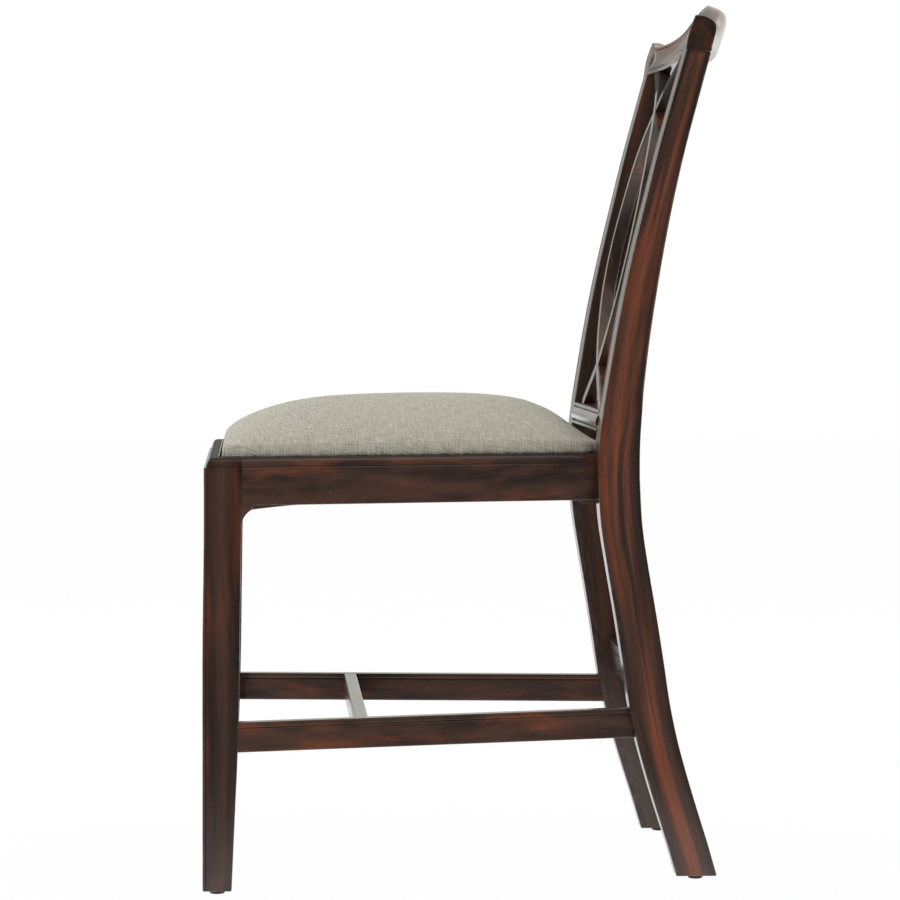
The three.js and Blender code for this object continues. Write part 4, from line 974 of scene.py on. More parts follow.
# Lower back rail
def lower_back_rail():
    profile = [(*row, LOWER_RAIL_ARRIS) for row in LOWER_RAIL_PROFILE_SHARES]
    profile += [(1, 1, LOWER_RAIL_BACK_EASE), (0, 1, LOWER_RAIL_BACK_EASE)]
    section = []
    for rise, back, ease in profile:
        height = LOWER_RAIL_TOP - (1 - rise) * LOWER_RAIL_HEIGHT
        front = post_at(height)[0] - LOWER_RAIL_PROUD
        section.append((front + back * LOWER_RAIL_DEPTH, height, ease))
    eased = soften(section, steps=LOWER_RAIL_CORNER_STEPS)
    rings = []
    for share in spread(-1, 1, LOWER_RAIL_STEPS):
        rings.append([(share * post_at(height)[3], y, height, wear) for y, height, wear in eased])
    return loft("lower_back_rail", rings, "x")


# Crest rail: its ends carry the stiles' moulded faces upwards
def crest_block_face(x):
    width = BACK_TOP_HALF - post_at(SHOULDER_LEVEL)[3]
    rows = stile_face(width, 1.0)
    reach = BACK_TOP_HALF - abs(x)
    places = [row[0] for row in rows]
    inset = float(np.interp(reach, places, [row[1] for row in rows]))
    wear = float(np.interp(reach, places, [row[2] for row in rows]))
    near = clamp((CREST_END_EASE - reach) / CREST_END_EASE)
    return inset + CREST_END_EASE * (1 - math.sqrt(1 - near * near)), wear


# A curve through every point, with the same number of steps between each two
def smooth_line(points):
    out = []
    for index in range(len(points) - 1):
        before, after = points[max(index - 1, 0)], points[min(index + 2, len(points) - 1)]
        here, there = points[index], points[index + 1]
        for step in range(CREST_CURVE_STEPS):
            t = step / CREST_CURVE_STEPS
            out.append((
                2 * here + (there - before) * t
                + (2 * before - 5 * here + 4 * there - after) * t * t
                + (3 * here - before - 3 * there + after) * t**3
            ) * 0.5)
    out.append(points[-1])
    return out


def crest_ring(x):
    share = min(abs(x) / BACK_TOP_HALF, 1.0)
    lean = post_at(BACK_HEIGHT)[0] - post_at(SHOULDER_LEVEL)[0]
    post = post_at(SHOULDER_LEVEL)
    foot, inner = post[0], post[3]
    lip = np.array((
        foot + CREST_LIP_BOW * read_shares(CREST_LIP_BOW_SHARES, share),
        SHOULDER_LEVEL + CREST_LIP_RISE * read_shares(CREST_LIP_RISE_SHARES, share),
    ))
    top = np.array((
        foot + lean + CREST_TOP_BOW * read_shares(CREST_TOP_BOW_SHARES, share),
        CREST_DIP_LEVEL + CREST_RISE * read_shares(CREST_RISE_SHARES, share),
    ))
    face = top - lip
    inward = np.array((face[1], -face[0])) / np.linalg.norm(face)

    def on_face(along, deep):
        return lip + face * along + inward * deep * CREST_THICKNESS

    ring = []
    carved = clamp((inner - abs(x)) / CREST_RUN_OUT)
    inset, block_wear = crest_block_face(x)
    for along, deep in CREST_FACE_SHARES:
        wear = CREST_BEAD_WEAR * (along in CREST_BEAD_SHARES) - (along in CREST_GROOVE_SHARES)
        plain = inset / CREST_THICKNESS - CREST_END_SWELL_SHARE * math.sin(math.pi * along)
        point = on_face(along, mix(plain, deep, carved))
        ring.append((x, point[0], point[1], mix(block_wear, wear, carved)))
    blend = read_shares(CREST_END_BLEND_SHARES, share)
    back = []
    for middle, end in zip(CREST_MIDDLE_BACK_SHARES, CREST_END_BACK_SHARES):
        back.append(on_face(mix(middle[0], end[0], blend), mix(middle[1], end[1], blend)))
    on_post = abs(x) > inner - CREST_POST_ROOM
    for point in smooth_line(back):
        height = max(point[1], SHOULDER_LEVEL) if on_post else point[1]
        ring.append((x, point[0], height, 0))
    return ring


def crest_rail():
    half, ease = BACK_TOP_HALF, CREST_END_EASE
    inner = post_at(SHOULDER_LEVEL)[3]
    rows = stile_face(half - inner, 1.0)
    block = [half - row[0] for row in rows if row[0] > ease + CREST_END_GAP]
    block = [half - ease] + sorted(block, reverse=True) + [inner - CREST_RUN_OUT / 2]
    middle = spread(-inner + CREST_RUN_OUT, inner - CREST_RUN_OUT, CREST_STEPS)
    places = [-x for x in block] + middle + block[::-1]
    rings = [crest_ring(x) for x in places]
    first = eased_end(rings[0], (-1, 0, 0), ease)
    last = eased_end(rings[-1], (1, 0, 0), ease)
    crest = loft("crest_rail", first[::-1] + rings[1:-1] + last, "x")
    # Painted shade over the crest's ends
    inset, run = CREST_END_SHADE_SHARES
    start = half - ease * inset
    return shade_edges(crest, lambda x, y, z: ramp(abs(x), start, start + ease * run))


# Ribs
def rib_front_at(height):
    share = (height - LOWER_RAIL_TOP) / (SHOULDER_LEVEL - LOWER_RAIL_TOP)
    return post_at(height)[0] + RIB_SETBACK * read_shares(RIB_SETBACK_SHARES, share)


def rib_centre_at(height, side):
    share = (SHOULDER_LEVEL - height) / (SHOULDER_LEVEL - LOWER_RAIL_TOP)
    return side * RIB_SWING * read_shares(RIB_PATH_SHARES, share)


def rib(side):
    shift = side * RIB_STAGGER
    low, top = LOWER_RAIL_TOP - RIB_TAIL, SHOULDER_LEVEL + RIB_HEAD
    heights = [mix(top, low, share**RIB_LEVEL_POWER) for share in spread(1, 0, RIB_LEVELS)]
    half = RIB_WIDTH / 2
    section = soften([
        (-half, shift, RIB_EASE),
        (half, shift, RIB_EASE),
        (half, RIB_DEPTH + shift, RIB_EASE),
        (-half, RIB_DEPTH + shift, RIB_EASE),
    ])
    rings = []
    for height in heights:
        run = rib_centre_at(height + RIB_STEP, side) - rib_centre_at(height - RIB_STEP, side)
        normal = np.array((RIB_STEP * 2, -run)) / math.hypot(RIB_STEP * 2, run)
        centre = rib_centre_at(height, side)
        ring = []
        # Painted shadow from the crest: towards it, the ribs' sides and backs, one half of their
        # fronts and all of their tops are darkened in colour
        shadow = RIB_SHADOW_WEAR * ramp(height, SHOULDER_LEVEL - RIB_SHADOW_RUN, SHOULDER_LEVEL)
        for across, back, wear in section:
            x = centre + normal[0] * across
            z = min(height + normal[1] * across, SHOULDER_LEVEL + RIB_TOP_ROOM)
            shaded = back > RIB_EASE or across > 0 or z > SHOULDER_LEVEL - RIB_SHADE_HEIGHT
            ring.append((x, rib_front_at(z) + back, z, shadow if shaded else wear))
        rings.append(ring)
    return loft("back_rib", rings, "z", side)


# Every wooden piece stands for the node that has its name
wood = []
for side in (1, -1):
    wood += [front_leg(side), rear_leg(side), side_rail(side), side_stretcher(side), rib(side)]
wood += [front_rail(), back_rail(), cross_stretcher(), rear_stretcher()]
wood += [lower_back_rail(), crest_rail()]
for piece in wood:
    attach(piece, "root")
    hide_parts(piece.name.replace("_wood", ""))


# The cushion's half width at a depth, inside the rails' moulded edge
def flank_at(depth):
    return rail_outer_at(max(depth, FRONT_LEG_WIDTH)) - LIP_WIDTH - SEAT_ROOM


def cushion_ends():
    return LIP_WIDTH + SEAT_ROOM, back_rail_lip() - SEAT_ROOM


# The lesser of two values, rounded over where they are nearly alike
def lesser_of(first, second, softness):
    share = clamp((1 + (second - first) / max(softness, LEAST)) / 2)
    return mix(second, first, share) - softness * share * (1 - share)


# The height of the cushion's crown over a place in plan
def cushion_top_at(x, depth):
    front, rear = cushion_ends()
    across = read_shares(CUSHION_ACROSS_SHARES, clamp(abs(x) / flank_at(depth)))
    place = clamp((depth - front) / (rear - front))
    along = read_shares(CUSHION_ALONG_SHARES, place)
    hip = lesser_of(across, along, HIP_SOFTNESS_SHARE * (1 - min(across, along)))
    past_corner = HIP_SHARE * math.prod(ramp(place, start, end) for start, end in HIP_RUN_SHARES)
    crown = max(mix(across * along, hip, past_corner), CUSHION_LEAST_SHARE)
    return CUSHION_BASE + CUSHION_EDGE + CUSHION_DOME * crown + CUSHION_GROWTH


# Half of the cushion's outline, from the middle of its front round to the middle of its back
def cushion_half_outline(growth):
    front, rear = cushion_ends()
    shoulder = SEAT_DEPTH - SEAT_ROOM
    radius = CUSHION_CORNER + growth
    corner_x, corner_y = flank_at(front) - CUSHION_CORNER, front + CUSHION_CORNER
    points = [(x, front - growth) for x in spread(0, corner_x, CUSHION_FRONT_STEPS)[:-1]]
    for angle in spread(-math.pi / 2, 0, CUSHION_CORNER_STEPS):
        points.append((corner_x + radius * math.cos(angle), corner_y + radius * math.sin(angle)))
    room, ease = CUSHION_END_ROOM, CUSHION_TONGUE_EASE
    flank = spread(corner_y + room, shoulder - room, CUSHION_SIDE_STEPS)
    points += [(flank_at(depth) + growth, depth) for depth in flank]
    tongue = CUSHION_TONGUE + growth
    points += [
        (flank_at(shoulder) + growth - ease, shoulder + growth / 2),
        (tongue + ease, shoulder + growth),
        (tongue, shoulder + CUSHION_TONGUE_STEP + growth),
        (tongue, rear - CUSHION_TONGUE_CUT),
        (tongue - room, rear + growth),
    ]
    back = spread(CUSHION_TONGUE - room * 2, 0, CUSHION_BACK_STEPS)
    return points + [(x, rear + growth) for x in back]


def cushion_outline(growth):
    half = cushion_half_outline(growth)
    return half + [(-x, y) for x, y in reversed(half[1:-1])]


# How far in from the cushion's outline a place is
def inset_of(place, outline):
    ends = np.roll(outline, -1, axis=0)
    run = ends - outline
    reach = place[None] - outline
    share = np.clip((reach * run).sum(1) / np.maximum((run * run).sum(1), LEAST), 0, 1)
    return float(np.min(np.linalg.norm(reach - run * share[:, None], axis=1)))


# The height of the cushion's cover over a place: its crown, rounded down at the outline
def cushion_surface_at(x, depth, outline):
    near = min(inset_of(np.array((x, depth)), outline) / CUSHION_ROUND, 1.0)
    rounded = math.sqrt(max(1 - (1 - near) ** 2, 0))
    top = cushion_top_at(x, depth)
    side = CUSHION_BASE + (CUSHION_EDGE + CUSHION_GROWTH) * rounded
    return min(top, side) if near < 1 and top < side else mix(side, top, rounded)


def bake_modifiers(piece):
    depsgraph = bpy.context.evaluated_depsgraph_get()
    mesh = bpy.data.meshes.new_from_object(piece.evaluated_get(depsgraph))
    piece.modifiers.clear()
    old = piece.data
    piece.data = mesh
    bpy.data.meshes.remove(old)
    mesh.name = piece.name


def places_of(mesh):
    flat = np.empty(len(mesh.vertices) * 3)
    mesh.vertices.foreach_get("co", flat)
    return flat.reshape(-1, 3)


def put_places(mesh, places):
    mesh.vertices.foreach_set("co", places.reshape(-1))
    mesh.update()


# Blows the pad up like the foam under a tight cover, with its underside held
def puff(piece, held, cap):
    start = places_of(piece.data).copy()
    group = piece.vertex_groups.new(name="held")
    group.add([int(index) for index in held], 1.0, "REPLACE")
    cloth = piece.modifiers.new("puff", "CLOTH")
    cloth.settings.use_pressure = True
    cloth.settings.uniform_pressure_force = CUSHION_PRESSURE
    cloth.settings.effector_weights.gravity = 0
    cloth.settings.vertex_group_mass = "held"
    for step in range(1, CUSHION_FRAMES + 1):
        bpy.context.scene.frame_set(step)
    bake_modifiers(piece)
    bpy.context.scene.frame_set(1)
    piece.vertex_groups.clear()
    moved = places_of(piece.data) - start
    length = np.linalg.norm(moved, axis=1, keepdims=True)
    put_places(piece.data, start + moved * np.minimum(1, cap / np.maximum(length, LEAST * MM)))


# Draws the puffed pad back to the form it was cut to, and keeps a little of its own
def settle(piece, outline, keep):
    places = places_of(piece.data)
    normals = np.array([vertex.normal[:] for vertex in piece.data.vertices])
    for index, (x, y, z) in enumerate(places):
        across, depth, height = x / MM, (y - FRONT_FACE) / MM, z / MM
        if height < CUSHION_BASE + CUSHION_FOOT:
            places[index, 2] = CUSHION_BASE * MM
        elif normals[index][2] > CUSHION_FACING_SHARE:
            surface = cushion_surface_at(across, depth, outline)
            places[index, 2] = mix(surface, height, keep) * MM
    put_places(piece.data, places)


# Where each point lies on the flat cloth, along both its threads
def lay_cloth(mesh):
    front, rear = cushion_ends()
    step = CLOTH_STEP
    xs = np.arange(0, flank_at(front) + CLOTH_MARGIN, step)
    ys = np.arange(front - step, rear + CLOTH_MARGIN, step)
    tops = np.array([[cushion_top_at(x, y) for x in xs] for y in ys])
    over_x = np.sqrt(step**2 + np.diff(tops, axis=1) ** 2)
    over_y = np.sqrt(step**2 + np.diff(tops, axis=0) ** 2)
    along_x = np.concatenate((np.zeros((len(ys), 1)), np.cumsum(over_x, axis=1)), axis=1)
    along_y = np.concatenate((np.zeros((1, len(xs))), np.cumsum(over_y, axis=0)), axis=0)
    values = []
    for vertex in mesh.vertices:
        x, depth = vertex.co.x / MM, (vertex.co.y - FRONT_FACE) / MM
        column = min(max(abs(x) / step, 0), len(xs) - CLOTH_LAST_CELL)
        row = min(max((depth - ys[0]) / step, 0), len(ys) - CLOTH_LAST_CELL)
        i, j = int(row), int(column)
        s, t = row - i, column - j

        def at(table):
            low = mix(table[i, j], table[i, j + 1], t)
            return mix(low, mix(table[i + 1, j], table[i + 1, j + 1], t), s)

        u, v = at(along_x), at(along_y)
        drop = max(at(tops) - vertex.co.z / MM, 0.0)
        if abs(x) > flank_at(depth) - step:
            u += drop
        elif depth < (front + rear) / 2:
            v -= drop
        else:
            v += drop
        values += [math.copysign(u, x) * MM, v * MM, 0.0]
    layer = mesh.attributes.new("threads", "FLOAT_VECTOR", "POINT")
    layer.data.foreach_set("vector", values)


def seat_cushion():
    outline = np.array(cushion_outline(CUSHION_START_GROWTH))
    centre = np.array((0.0, sum(cushion_ends()) / 2))
    rings = [[(x, y, CUSHION_BASE) for x, y in outline]]
    for scale, full in CUSHION_RING_SHARES:
        ring = []
        for place in outline:
            x, y = mix(centre, place, scale)
            rise = cushion_top_at(x, y) - CUSHION_BASE
            slack = CUSHION_SLACK * clamp(rise / CUSHION_SLACK_RISE)
            ring.append((x, y, CUSHION_BASE + rise * full - slack))
        rings.append(ring)
    piece = solid_through("seat_cushion", rings)
    remesh = piece.modifiers.new("even", "REMESH")
    remesh.mode = "VOXEL"
    remesh.voxel_size = CUSHION_VOXEL * MM
    bake_modifiers(piece)
    heights = places_of(piece.data)[:, 2] / MM
    held = np.nonzero(heights < CUSHION_BASE + CUSHION_HELD)[0]
    puff(piece, held, CUSHION_CAP * MM)
    settle(piece, np.array(cushion_outline(CUSHION_GROWTH)), CUSHION_KEEP_SHARE)
    smooth = piece.modifiers.new("smooth", "SUBSURF")
    smooth.levels = smooth.render_levels = 1
    bake_modifiers(piece)
    piece.data.polygons.foreach_set("use_smooth", [True] * len(piece.data.polygons))
    lay_cloth(piece.data)
    return piece


# Black lining under the seat, stretched inside the rails and cut back at the corner blocks
def dust_cloth_ends():
    return RAIL_THICKNESS + DUST_CLOTH_MARGIN, SEAT_DEPTH + BACK_RAIL_INSET - DUST_CLOTH_MARGIN


def dust_cloth_half_at(depth):
    front, rear = dust_cloth_ends()
    blocks = [FRONT_LEG_WIDTH + BLOCK_LEG + BLOCK_ROOM, SEAT_DEPTH - BLOCK_LEG]
    inner = [rail_outer_at(end) - RAIL_THICKNESS - DUST_CLOTH_MARGIN for end in blocks]
    first = FRONT_HALF - FRONT_LEG_WIDTH - BLOCK_LEG - DUST_CLOTH_MARGIN * 2
    last = post_at(RAIL_BOTTOM)[3] - BLOCK_LEG
    return float(np.interp(depth, [front, *blocks, rear], [first, *inner, last]))


# The lining sags in the middle, and its edge is drawn up between the staples
def dust_cloth_level(across, along):
    sag = DUST_CLOTH_SAG * (1 - across**2) * math.sin(math.pi * along)
    edge = abs(across) ** DUST_CLOTH_PULL_POWER
    pull = DUST_CLOTH_PULL * math.cos(along * DUST_CLOTH_PULLS) * edge
    return DUST_CLOTH_UNDERSIDE - sag - max(pull, 0.0)


def dust_cloth():
    front, rear = dust_cloth_ends()
    rings = []
    across = spread(-1, 1, DUST_CLOTH_COLUMNS)
    for along in spread(0, 1, DUST_CLOTH_ROWS):
        depth = mix(front, rear, along)
        half = dust_cloth_half_at(depth)
        under = [(half * share, depth, dust_cloth_level(share, along)) for share in across]
        over = [(x, y, z + DUST_CLOTH_THICKNESS) for x, y, z in reversed(under)]
        rings.append(under + over)
    piece = solid_through("dust_cloth_lining", rings)
    piece.data.polygons.foreach_set("use_smooth", [True] * len(piece.data.polygons))
    piece.data.set_sharp_from_angle(angle=SMOOTH_ANGLE)
    halves = [dust_cloth_half_at(depth) for depth in spread(front, rear, DUST_CLOTH_MEASURES)]
    length = rear - front
    area = 2 * length * float(np.mean(halves))
    return piece, (2 * max(halves) * MM, length * MM), area * MM * MM


# Sets a node's inputs by name: a socket is linked, and any other value is set
def fill_sockets(tree, made, values):
    for name, value in values.items():
        socket = made.inputs[name]
        if isinstance(value, bpy.types.NodeSocket):
            tree.links.new(value, socket)
        else:
            socket.default_value = value


def put_node(tree, kind, values=None, **settings):
    made = tree.nodes.new(kind)
    for name, value in settings.items():
        setattr(made, name, value)
    fill_sockets(tree, made, values or {})
    return made


def add_node(tree, kind, values=None, **settings):
    return put_node(tree, "ShaderNode" + kind, values, **settings)


def maths(tree, operation, first, second=0.0, third=0.0):
    values = {0: first, 1: second}
    if operation == "MULTIPLY_ADD":
        values[2] = third
    return add_node(tree, "Math", values, operation=operation).outputs[0]


def geometry_tree(name, sizes):
    tree = bpy.data.node_groups.new(name, "GeometryNodeTree")
    tree.interface.new_socket("Geometry", in_out="INPUT", socket_type="NodeSocketGeometry")
    sockets = {}
    for label, kind in sizes.items():
        made = tree.interface.new_socket(label, in_out="INPUT", socket_type="NodeSocket" + kind)
        sockets[label] = made.identifier
    tree.interface.new_socket("Geometry", in_out="OUTPUT", socket_type="NodeSocketGeometry")
    first, last = tree.nodes.new("NodeGroupInput"), tree.nodes.new("NodeGroupOutput")
    return tree, sockets, first.outputs, last.inputs


# Puts a copy of a form on each point, and ends the tree in plain faces with their finish
def end_in_copies(tree, given, out, values):
    copies = put_node(tree, "GeometryNodeInstanceOnPoints", values)
    real = put_node(tree, "GeometryNodeRealizeInstances", {0: copies.outputs[0]})
    dressed = {"Geometry": real.outputs[0], "Material": given["Finish"]}
    ended = put_node(tree, "GeometryNodeSetMaterial", dressed)
    tree.links.new(ended.outputs[0], out["Geometry"])


def grow(piece, tree, sockets, values):
    modifier = piece.modifiers.new("grown", "NODES")
    modifier.node_group = tree
    for label, value in values.items():
        modifier[sockets[label]] = value
    bake_modifiers(piece)


def staple_tree():
    sizes = {"Pitch": "Float", "Crown": "Float", "Wire": "Float", "Finish": "Material"}
    tree, sockets, given, out = geometry_tree("staple_line", sizes)
    path = put_node(tree, "GeometryNodeMeshToCurve", {"Mesh": given["Geometry"]})
    values = {"Curve": path.outputs["Curve"], "Length": given["Pitch"]}
    places = put_node(tree, "GeometryNodeResampleCurve", values, mode="LENGTH")
    along = put_node(tree, "GeometryNodeInputTangent").outputs[0]
    turn = put_node(tree, "FunctionNodeAlignRotationToVector", {"Vector": along}, axis="X")
    ends = []
    for half in (-0.5, 0.5):
        reach = maths(tree, "MULTIPLY", given["Crown"], half)
        ends.append(add_node(tree, "CombineXYZ", {"X": reach}).outputs[0])
    crown = put_node(tree, "GeometryNodeCurvePrimitiveLine", {"Start": ends[0], "End": ends[1]})
    values = {"Resolution": STAPLE_SIDES, "Radius": given["Wire"]}
    wire = put_node(tree, "GeometryNodeCurvePrimitiveCircle", values)
    values = {"Curve": crown.outputs[0], "Profile Curve": wire.outputs[0], "Fill Caps": True}
    swept = put_node(tree, "GeometryNodeCurveToMesh", values)
    end_in_copies(tree, given, out, {
        "Points": places.outputs["Curve"],
        "Instance": swept.outputs[0],
        "Rotation": turn.outputs[0],
    })
    return tree, sockets


# A line of wire staples along the dust cloth's edge
def staples(material):
    front, rear = dust_cloth_ends()
    outline = []
    for share in spread(*STAPLE_RUN_SHARES, STAPLE_PATH_STEPS):
        depth = mix(front, rear, share)
        outline.append((dust_cloth_half_at(depth) - STAPLE_INSET, depth))
    outline += [(-x, y) for x, y in reversed(outline)]
    level = DUST_CLOTH_UNDERSIDE - STAPLE_WIRE * STAPLE_LIFT_SHARE
    points = [Vector((x * MM, y * MM + FRONT_FACE, level * MM)) for x, y in outline]
    mesh = bpy.data.meshes.new("dust_cloth_staples")
    count = len(points)
    mesh.from_pydata(points, [(index, (index + 1) % count) for index in range(count)], [])
    piece = bpy.data.objects.new("dust_cloth_staples", mesh)
    bpy.context.scene.collection.objects.link(piece)
    tree, sockets = staple_tree()
    grow(piece, tree, sockets, {
        "Pitch": STAPLE_PITCH * MM,
        "Crown": STAPLE_CROWN * MM,
        "Wire": STAPLE_WIRE * MM,
        "Finish": material,
    })
    return piece


# One wood screw, head down on the origin and its point along +Z
def screw_pattern(length):
    bm = bmesh.new()
    turns = [math.tau * side / SCREW_SIDES for side in range(SCREW_SIDES)]

    def place(radius, angle, height):
        flat = Vector((math.cos(angle), math.sin(angle), 0)) * radius
        return bm.verts.new((flat + Vector((0, 0, height))) * MM)

    rings = []
    for share in SCREW_HEAD_RING_SHARES:
        radius = share * SCREW_HEAD_RADIUS
        ring = []
        for angle in turns:
            nearest = min(abs(radius * math.cos(angle)), abs(radius * math.sin(angle)))
            slotted = nearest < SCREW_CROSS_WIDTH and radius < SCREW_CROSS
            dome = SCREW_DOME * share**2
            ring.append(place(radius, angle, SCREW_CROSS_DEPTH if slotted else dome))
        rings.append(ring)
    shank = [(SCREW_SHANK_RADIUS, SCREW_HEAD_HEIGHT)]
    for turn in range(SCREW_PLAIN_TURNS, int((length - SCREW_POINT) / SCREW_THREAD_ROOM)):
        crest = SCREW_SHANK_RADIUS - SCREW_THREAD_DEPTH * (turn % 2)
        shank.append((crest, SCREW_HEAD_HEIGHT + turn * SCREW_THREAD_RISE))
    shank.append((SCREW_SHANK_RADIUS * SCREW_NECK_SHARE, length - SCREW_POINT))
    shank.append((SCREW_TIP_RADIUS, length))
    rings += [[place(radius, angle, height) for angle in turns] for radius, height in shank]
    centre, tip = place(0, 0, SCREW_CROSS_DEPTH), place(0, 0, length + SCREW_TIP)
    for side in range(SCREW_SIDES):
        after = (side + 1) % SCREW_SIDES
        bm.faces.new((centre, rings[0][after], rings[0][side]))
        bm.faces.new((tip, rings[-1][side], rings[-1][after]))
        for low, high in zip(rings[:-1], rings[1:]):
            bm.faces.new((low[side], low[after], high[after], high[side]))
    mesh = bpy.data.meshes.new("screw_pattern")
    bm.to_mesh(mesh)
    bm.free()
    return bpy.data.objects.new("screw_pattern", mesh)


# Where each screw's head lies and which way it points, from its node's box
def screw_seat(name):
    low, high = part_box(name)
    middle = (low + high) / 2
    run = high - low
    axis = max(range(3), key=lambda index: run[index])
    if axis == 2:
        return Vector((middle.x, middle.y, low.z)), Vector((0, 0, 1)), run[2]
    towards = Vector((0, 0, 0))
    if axis == 0:
        towards.x = math.copysign(1, middle.x)
    else:
        towards.y = -1 if "front" in name else 1
    head = middle - towards * run[axis] / 2
    return head, towards, run[axis]


def named_field(tree, name, kind):
    made = put_node(tree, "GeometryNodeInputNamedAttribute", {"Name": name}, data_type=kind)
    return made.outputs["Attribute"]


# A screw on each point, turned along its axis and stretched to its length
def screw_tree():
    tree, sockets, given, out = geometry_tree("screw_set", {"Pattern": "Object", "Finish": "Material"})
    points = put_node(tree, "GeometryNodeMeshToPoints", {"Mesh": given["Geometry"]})
    pattern = put_node(tree, "GeometryNodeObjectInfo", {"Object": given["Pattern"]})
    axis = named_field(tree, "axis", "FLOAT_VECTOR")
    turn = put_node(tree, "FunctionNodeAlignRotationToVector", {"Vector": axis}, axis="Z")
    stretch = named_field(tree, "stretch", "FLOAT")
    size = add_node(tree, "CombineXYZ", {"X": 1.0, "Y": 1.0, "Z": stretch})
    end_in_copies(tree, given, out, {
        "Points": points.outputs[0],
        "Instance": pattern.outputs["Geometry"],
        "Rotation": turn.outputs[0],
        "Scale": size.outputs[0],
    })
    return tree, sockets


def screws(material):
    kinds = ("seat_screw_", "block_screw_")
    names = [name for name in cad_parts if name.startswith(kinds)]
    seats = [screw_seat(name) for name in sorted(names)]
    longest = max(length for head, towards, length in seats)
    screw = screw_pattern(longest / MM)
    mesh = bpy.data.meshes.new("frame_screws")
    mesh.from_pydata([head for head, towards, length in seats], [], [])
    layer = mesh.attributes.new("axis", "FLOAT_VECTOR", "POINT")
    layer.data.foreach_set("vector", [c for head, towards, length in seats for c in towards])
    layer = mesh.attributes.new("stretch", "FLOAT", "POINT")
    layer.data.foreach_set("value", [length / longest for head, towards, length in seats])
    piece = bpy.data.objects.new("frame_screws", mesh)
    bpy.context.scene.collection.objects.link(piece)
    tree, sockets = screw_tree()
    grow(piece, tree, sockets, {"Pattern": screw, "Finish": material})
    bpy.data.objects.remove(screw)
    finish_mesh(piece.data)
    return piece, names


# A CAD solid's own form with its edges eased. A cut is a point in the drawing and the side
# that it clears.
def eased_copy(node, ease, suffix, cut=None):
    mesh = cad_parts[node].data.copy()
    mesh.name = node + suffix
    mesh.materials.clear()
    bm = bmesh.new()
    bm.from_mesh(mesh)
    bmesh.ops.remove_doubles(bm, verts=bm.verts, dist=WELD * MM)
    bmesh.ops.dissolve_limit(bm, angle_limit=FLAT_ANGLE, verts=bm.verts, edges=bm.edges)
    if cut:
        (y, z), clear = cut
        point = Vector((0, y * MM + FRONT_FACE, z * MM))
        parts = [*bm.verts, *bm.edges, *bm.faces]
        made = bmesh.ops.bisect_plane(
            bm, geom=parts, plane_co=point, plane_no=clear, clear_outer=True,
        )
        edges = [part for part in made["geom_cut"] if isinstance(part, bmesh.types.BMEdge)]
        bmesh.ops.contextual_create(bm, geom=edges)
    bm.to_mesh(mesh)
    bm.free()
    piece = bpy.data.objects.new(node + suffix, mesh)
    bpy.context.scene.collection.objects.link(piece)
    bevel = piece.modifiers.new("ease", "BEVEL")
    bevel.width = ease * MM
    bevel.segments = EASE_SEGMENTS
    bevel.limit_method = "ANGLE"
    bevel.angle_limit = EASE_ANGLE
    bake_modifiers(piece)
    finish_mesh(piece.data, EASED_SMOOTH_ANGLE)
    return piece


# Colours are written as they look on a screen
def tint(red, green, blue):
    def plain_light(value):
        value /= 255
        return value / 12.92 if value <= 0.04045 else ((value + 0.055) / 1.055) ** 2.4

    return (plain_light(red), plain_light(green), plain_light(blue), 1.0)


def remap(tree, value, low, high, to_low=0.0, to_high=1.0):
    values = {"Value": value, "From Min": low, "From Max": high, "To Min": to_low, "To Max": to_high}
    return add_node(tree, "MapRange", values, interpolation_type="SMOOTHSTEP").outputs[0]


def blend_colours(tree, share, first, second, kind="MIX"):
    made = add_node(tree, "Mix", {0: share, 6: first, 7: second}, data_type="RGBA", blend_type=kind)
    return made.outputs[2]


# Noise patterns: their number to a metre along each axis, their detail and roughness, and
# their place. On the plank the axes are across, through and along, and on cloth its threads.
NOISES = {
    "grain_bends": ((6, 6, 1.5), 2.0, 0.5, (0, 0, 0)),
    "grain_streaks": ((46, 46, 2.2), 4.0, 0.6, (0, 0, 0)),
    "grain_patches": ((38, 38, 3.2), 3.0, 0.55, (3.1, 1.7, 0.4)),
    "grain_lines": ((620, 620, 16), 3.0, 0.6, (0, 0, 0)),
    "grain_pores": ((900, 900, 90), 2.0, 0.6, (0.3, 0.9, 0.2)),
    "warm_streaks": ((70, 70, 3), 3.0, 0.6, (5.2, 1.1, 0.6)),
    "dark_marks": ((230, 230, 150), 1.0, 0.4, (2.2, 5.1, 3.3)),
    "rubbed_patches": ((260, 260, 70), 3.0, 0.6, (0, 0, 0)),
    "lacquer_clouds": ((35, 35, 9), 2.0, 0.5, (0, 0, 0)),
    "warp_threads": ((0.9, 0.11, 1), 2.0, 0.6, (0, 0, 0)),
    "weft_threads": ((0.1, 0.9, 1), 2.0, 0.6, (7.3, 2.2, 0)),
    "dark_flecks": ((700, 500, 1), 2.0, 0.6, (0.4, 1.3, 0)),
    "pale_flecks": ((420, 640, 1), 2.0, 0.6, (4.4, 0.3, 0)),
    "steel_mottle": ((900, 900, 900), 3.0, 0.6, (0, 0, 0)),
    "nylon_scuffs": ((1200, 1200, 1200), 3.0, 0.6, (0, 0, 0)),
}

# Where each noise pattern starts and ends in its mask
MASK_SHARES = {
    "grain_streaks": (0.34, 0.66),
    "grain_patches": (0.5, 0.72),
    "grain_pores": (0.62, 0.72),
    "warm_streaks": (0.36, 0.6),
    "dark_marks": (0.765, 0.785),
    "rubbed_patches": (0.42, 0.62),
    "dark_flecks": (0.63, 0.72),
    "pale_flecks": (0.64, 0.74),
}


def noise_at(tree, vector, name):
    scale, detail, roughness, offset = NOISES[name]
    values = {"Vector": vector, "Scale": scale, "Location": offset}
    placed = add_node(tree, "Mapping", values).outputs[0]
    values = {"Vector": placed, "Scale": 1.0, "Detail": detail, "Roughness": roughness}
    return add_node(tree, "TexNoise", values).outputs["Fac"]


def mask_at(tree, vector, name):
    return remap(tree, noise_at(tree, vector, name), *MASK_SHARES[name])


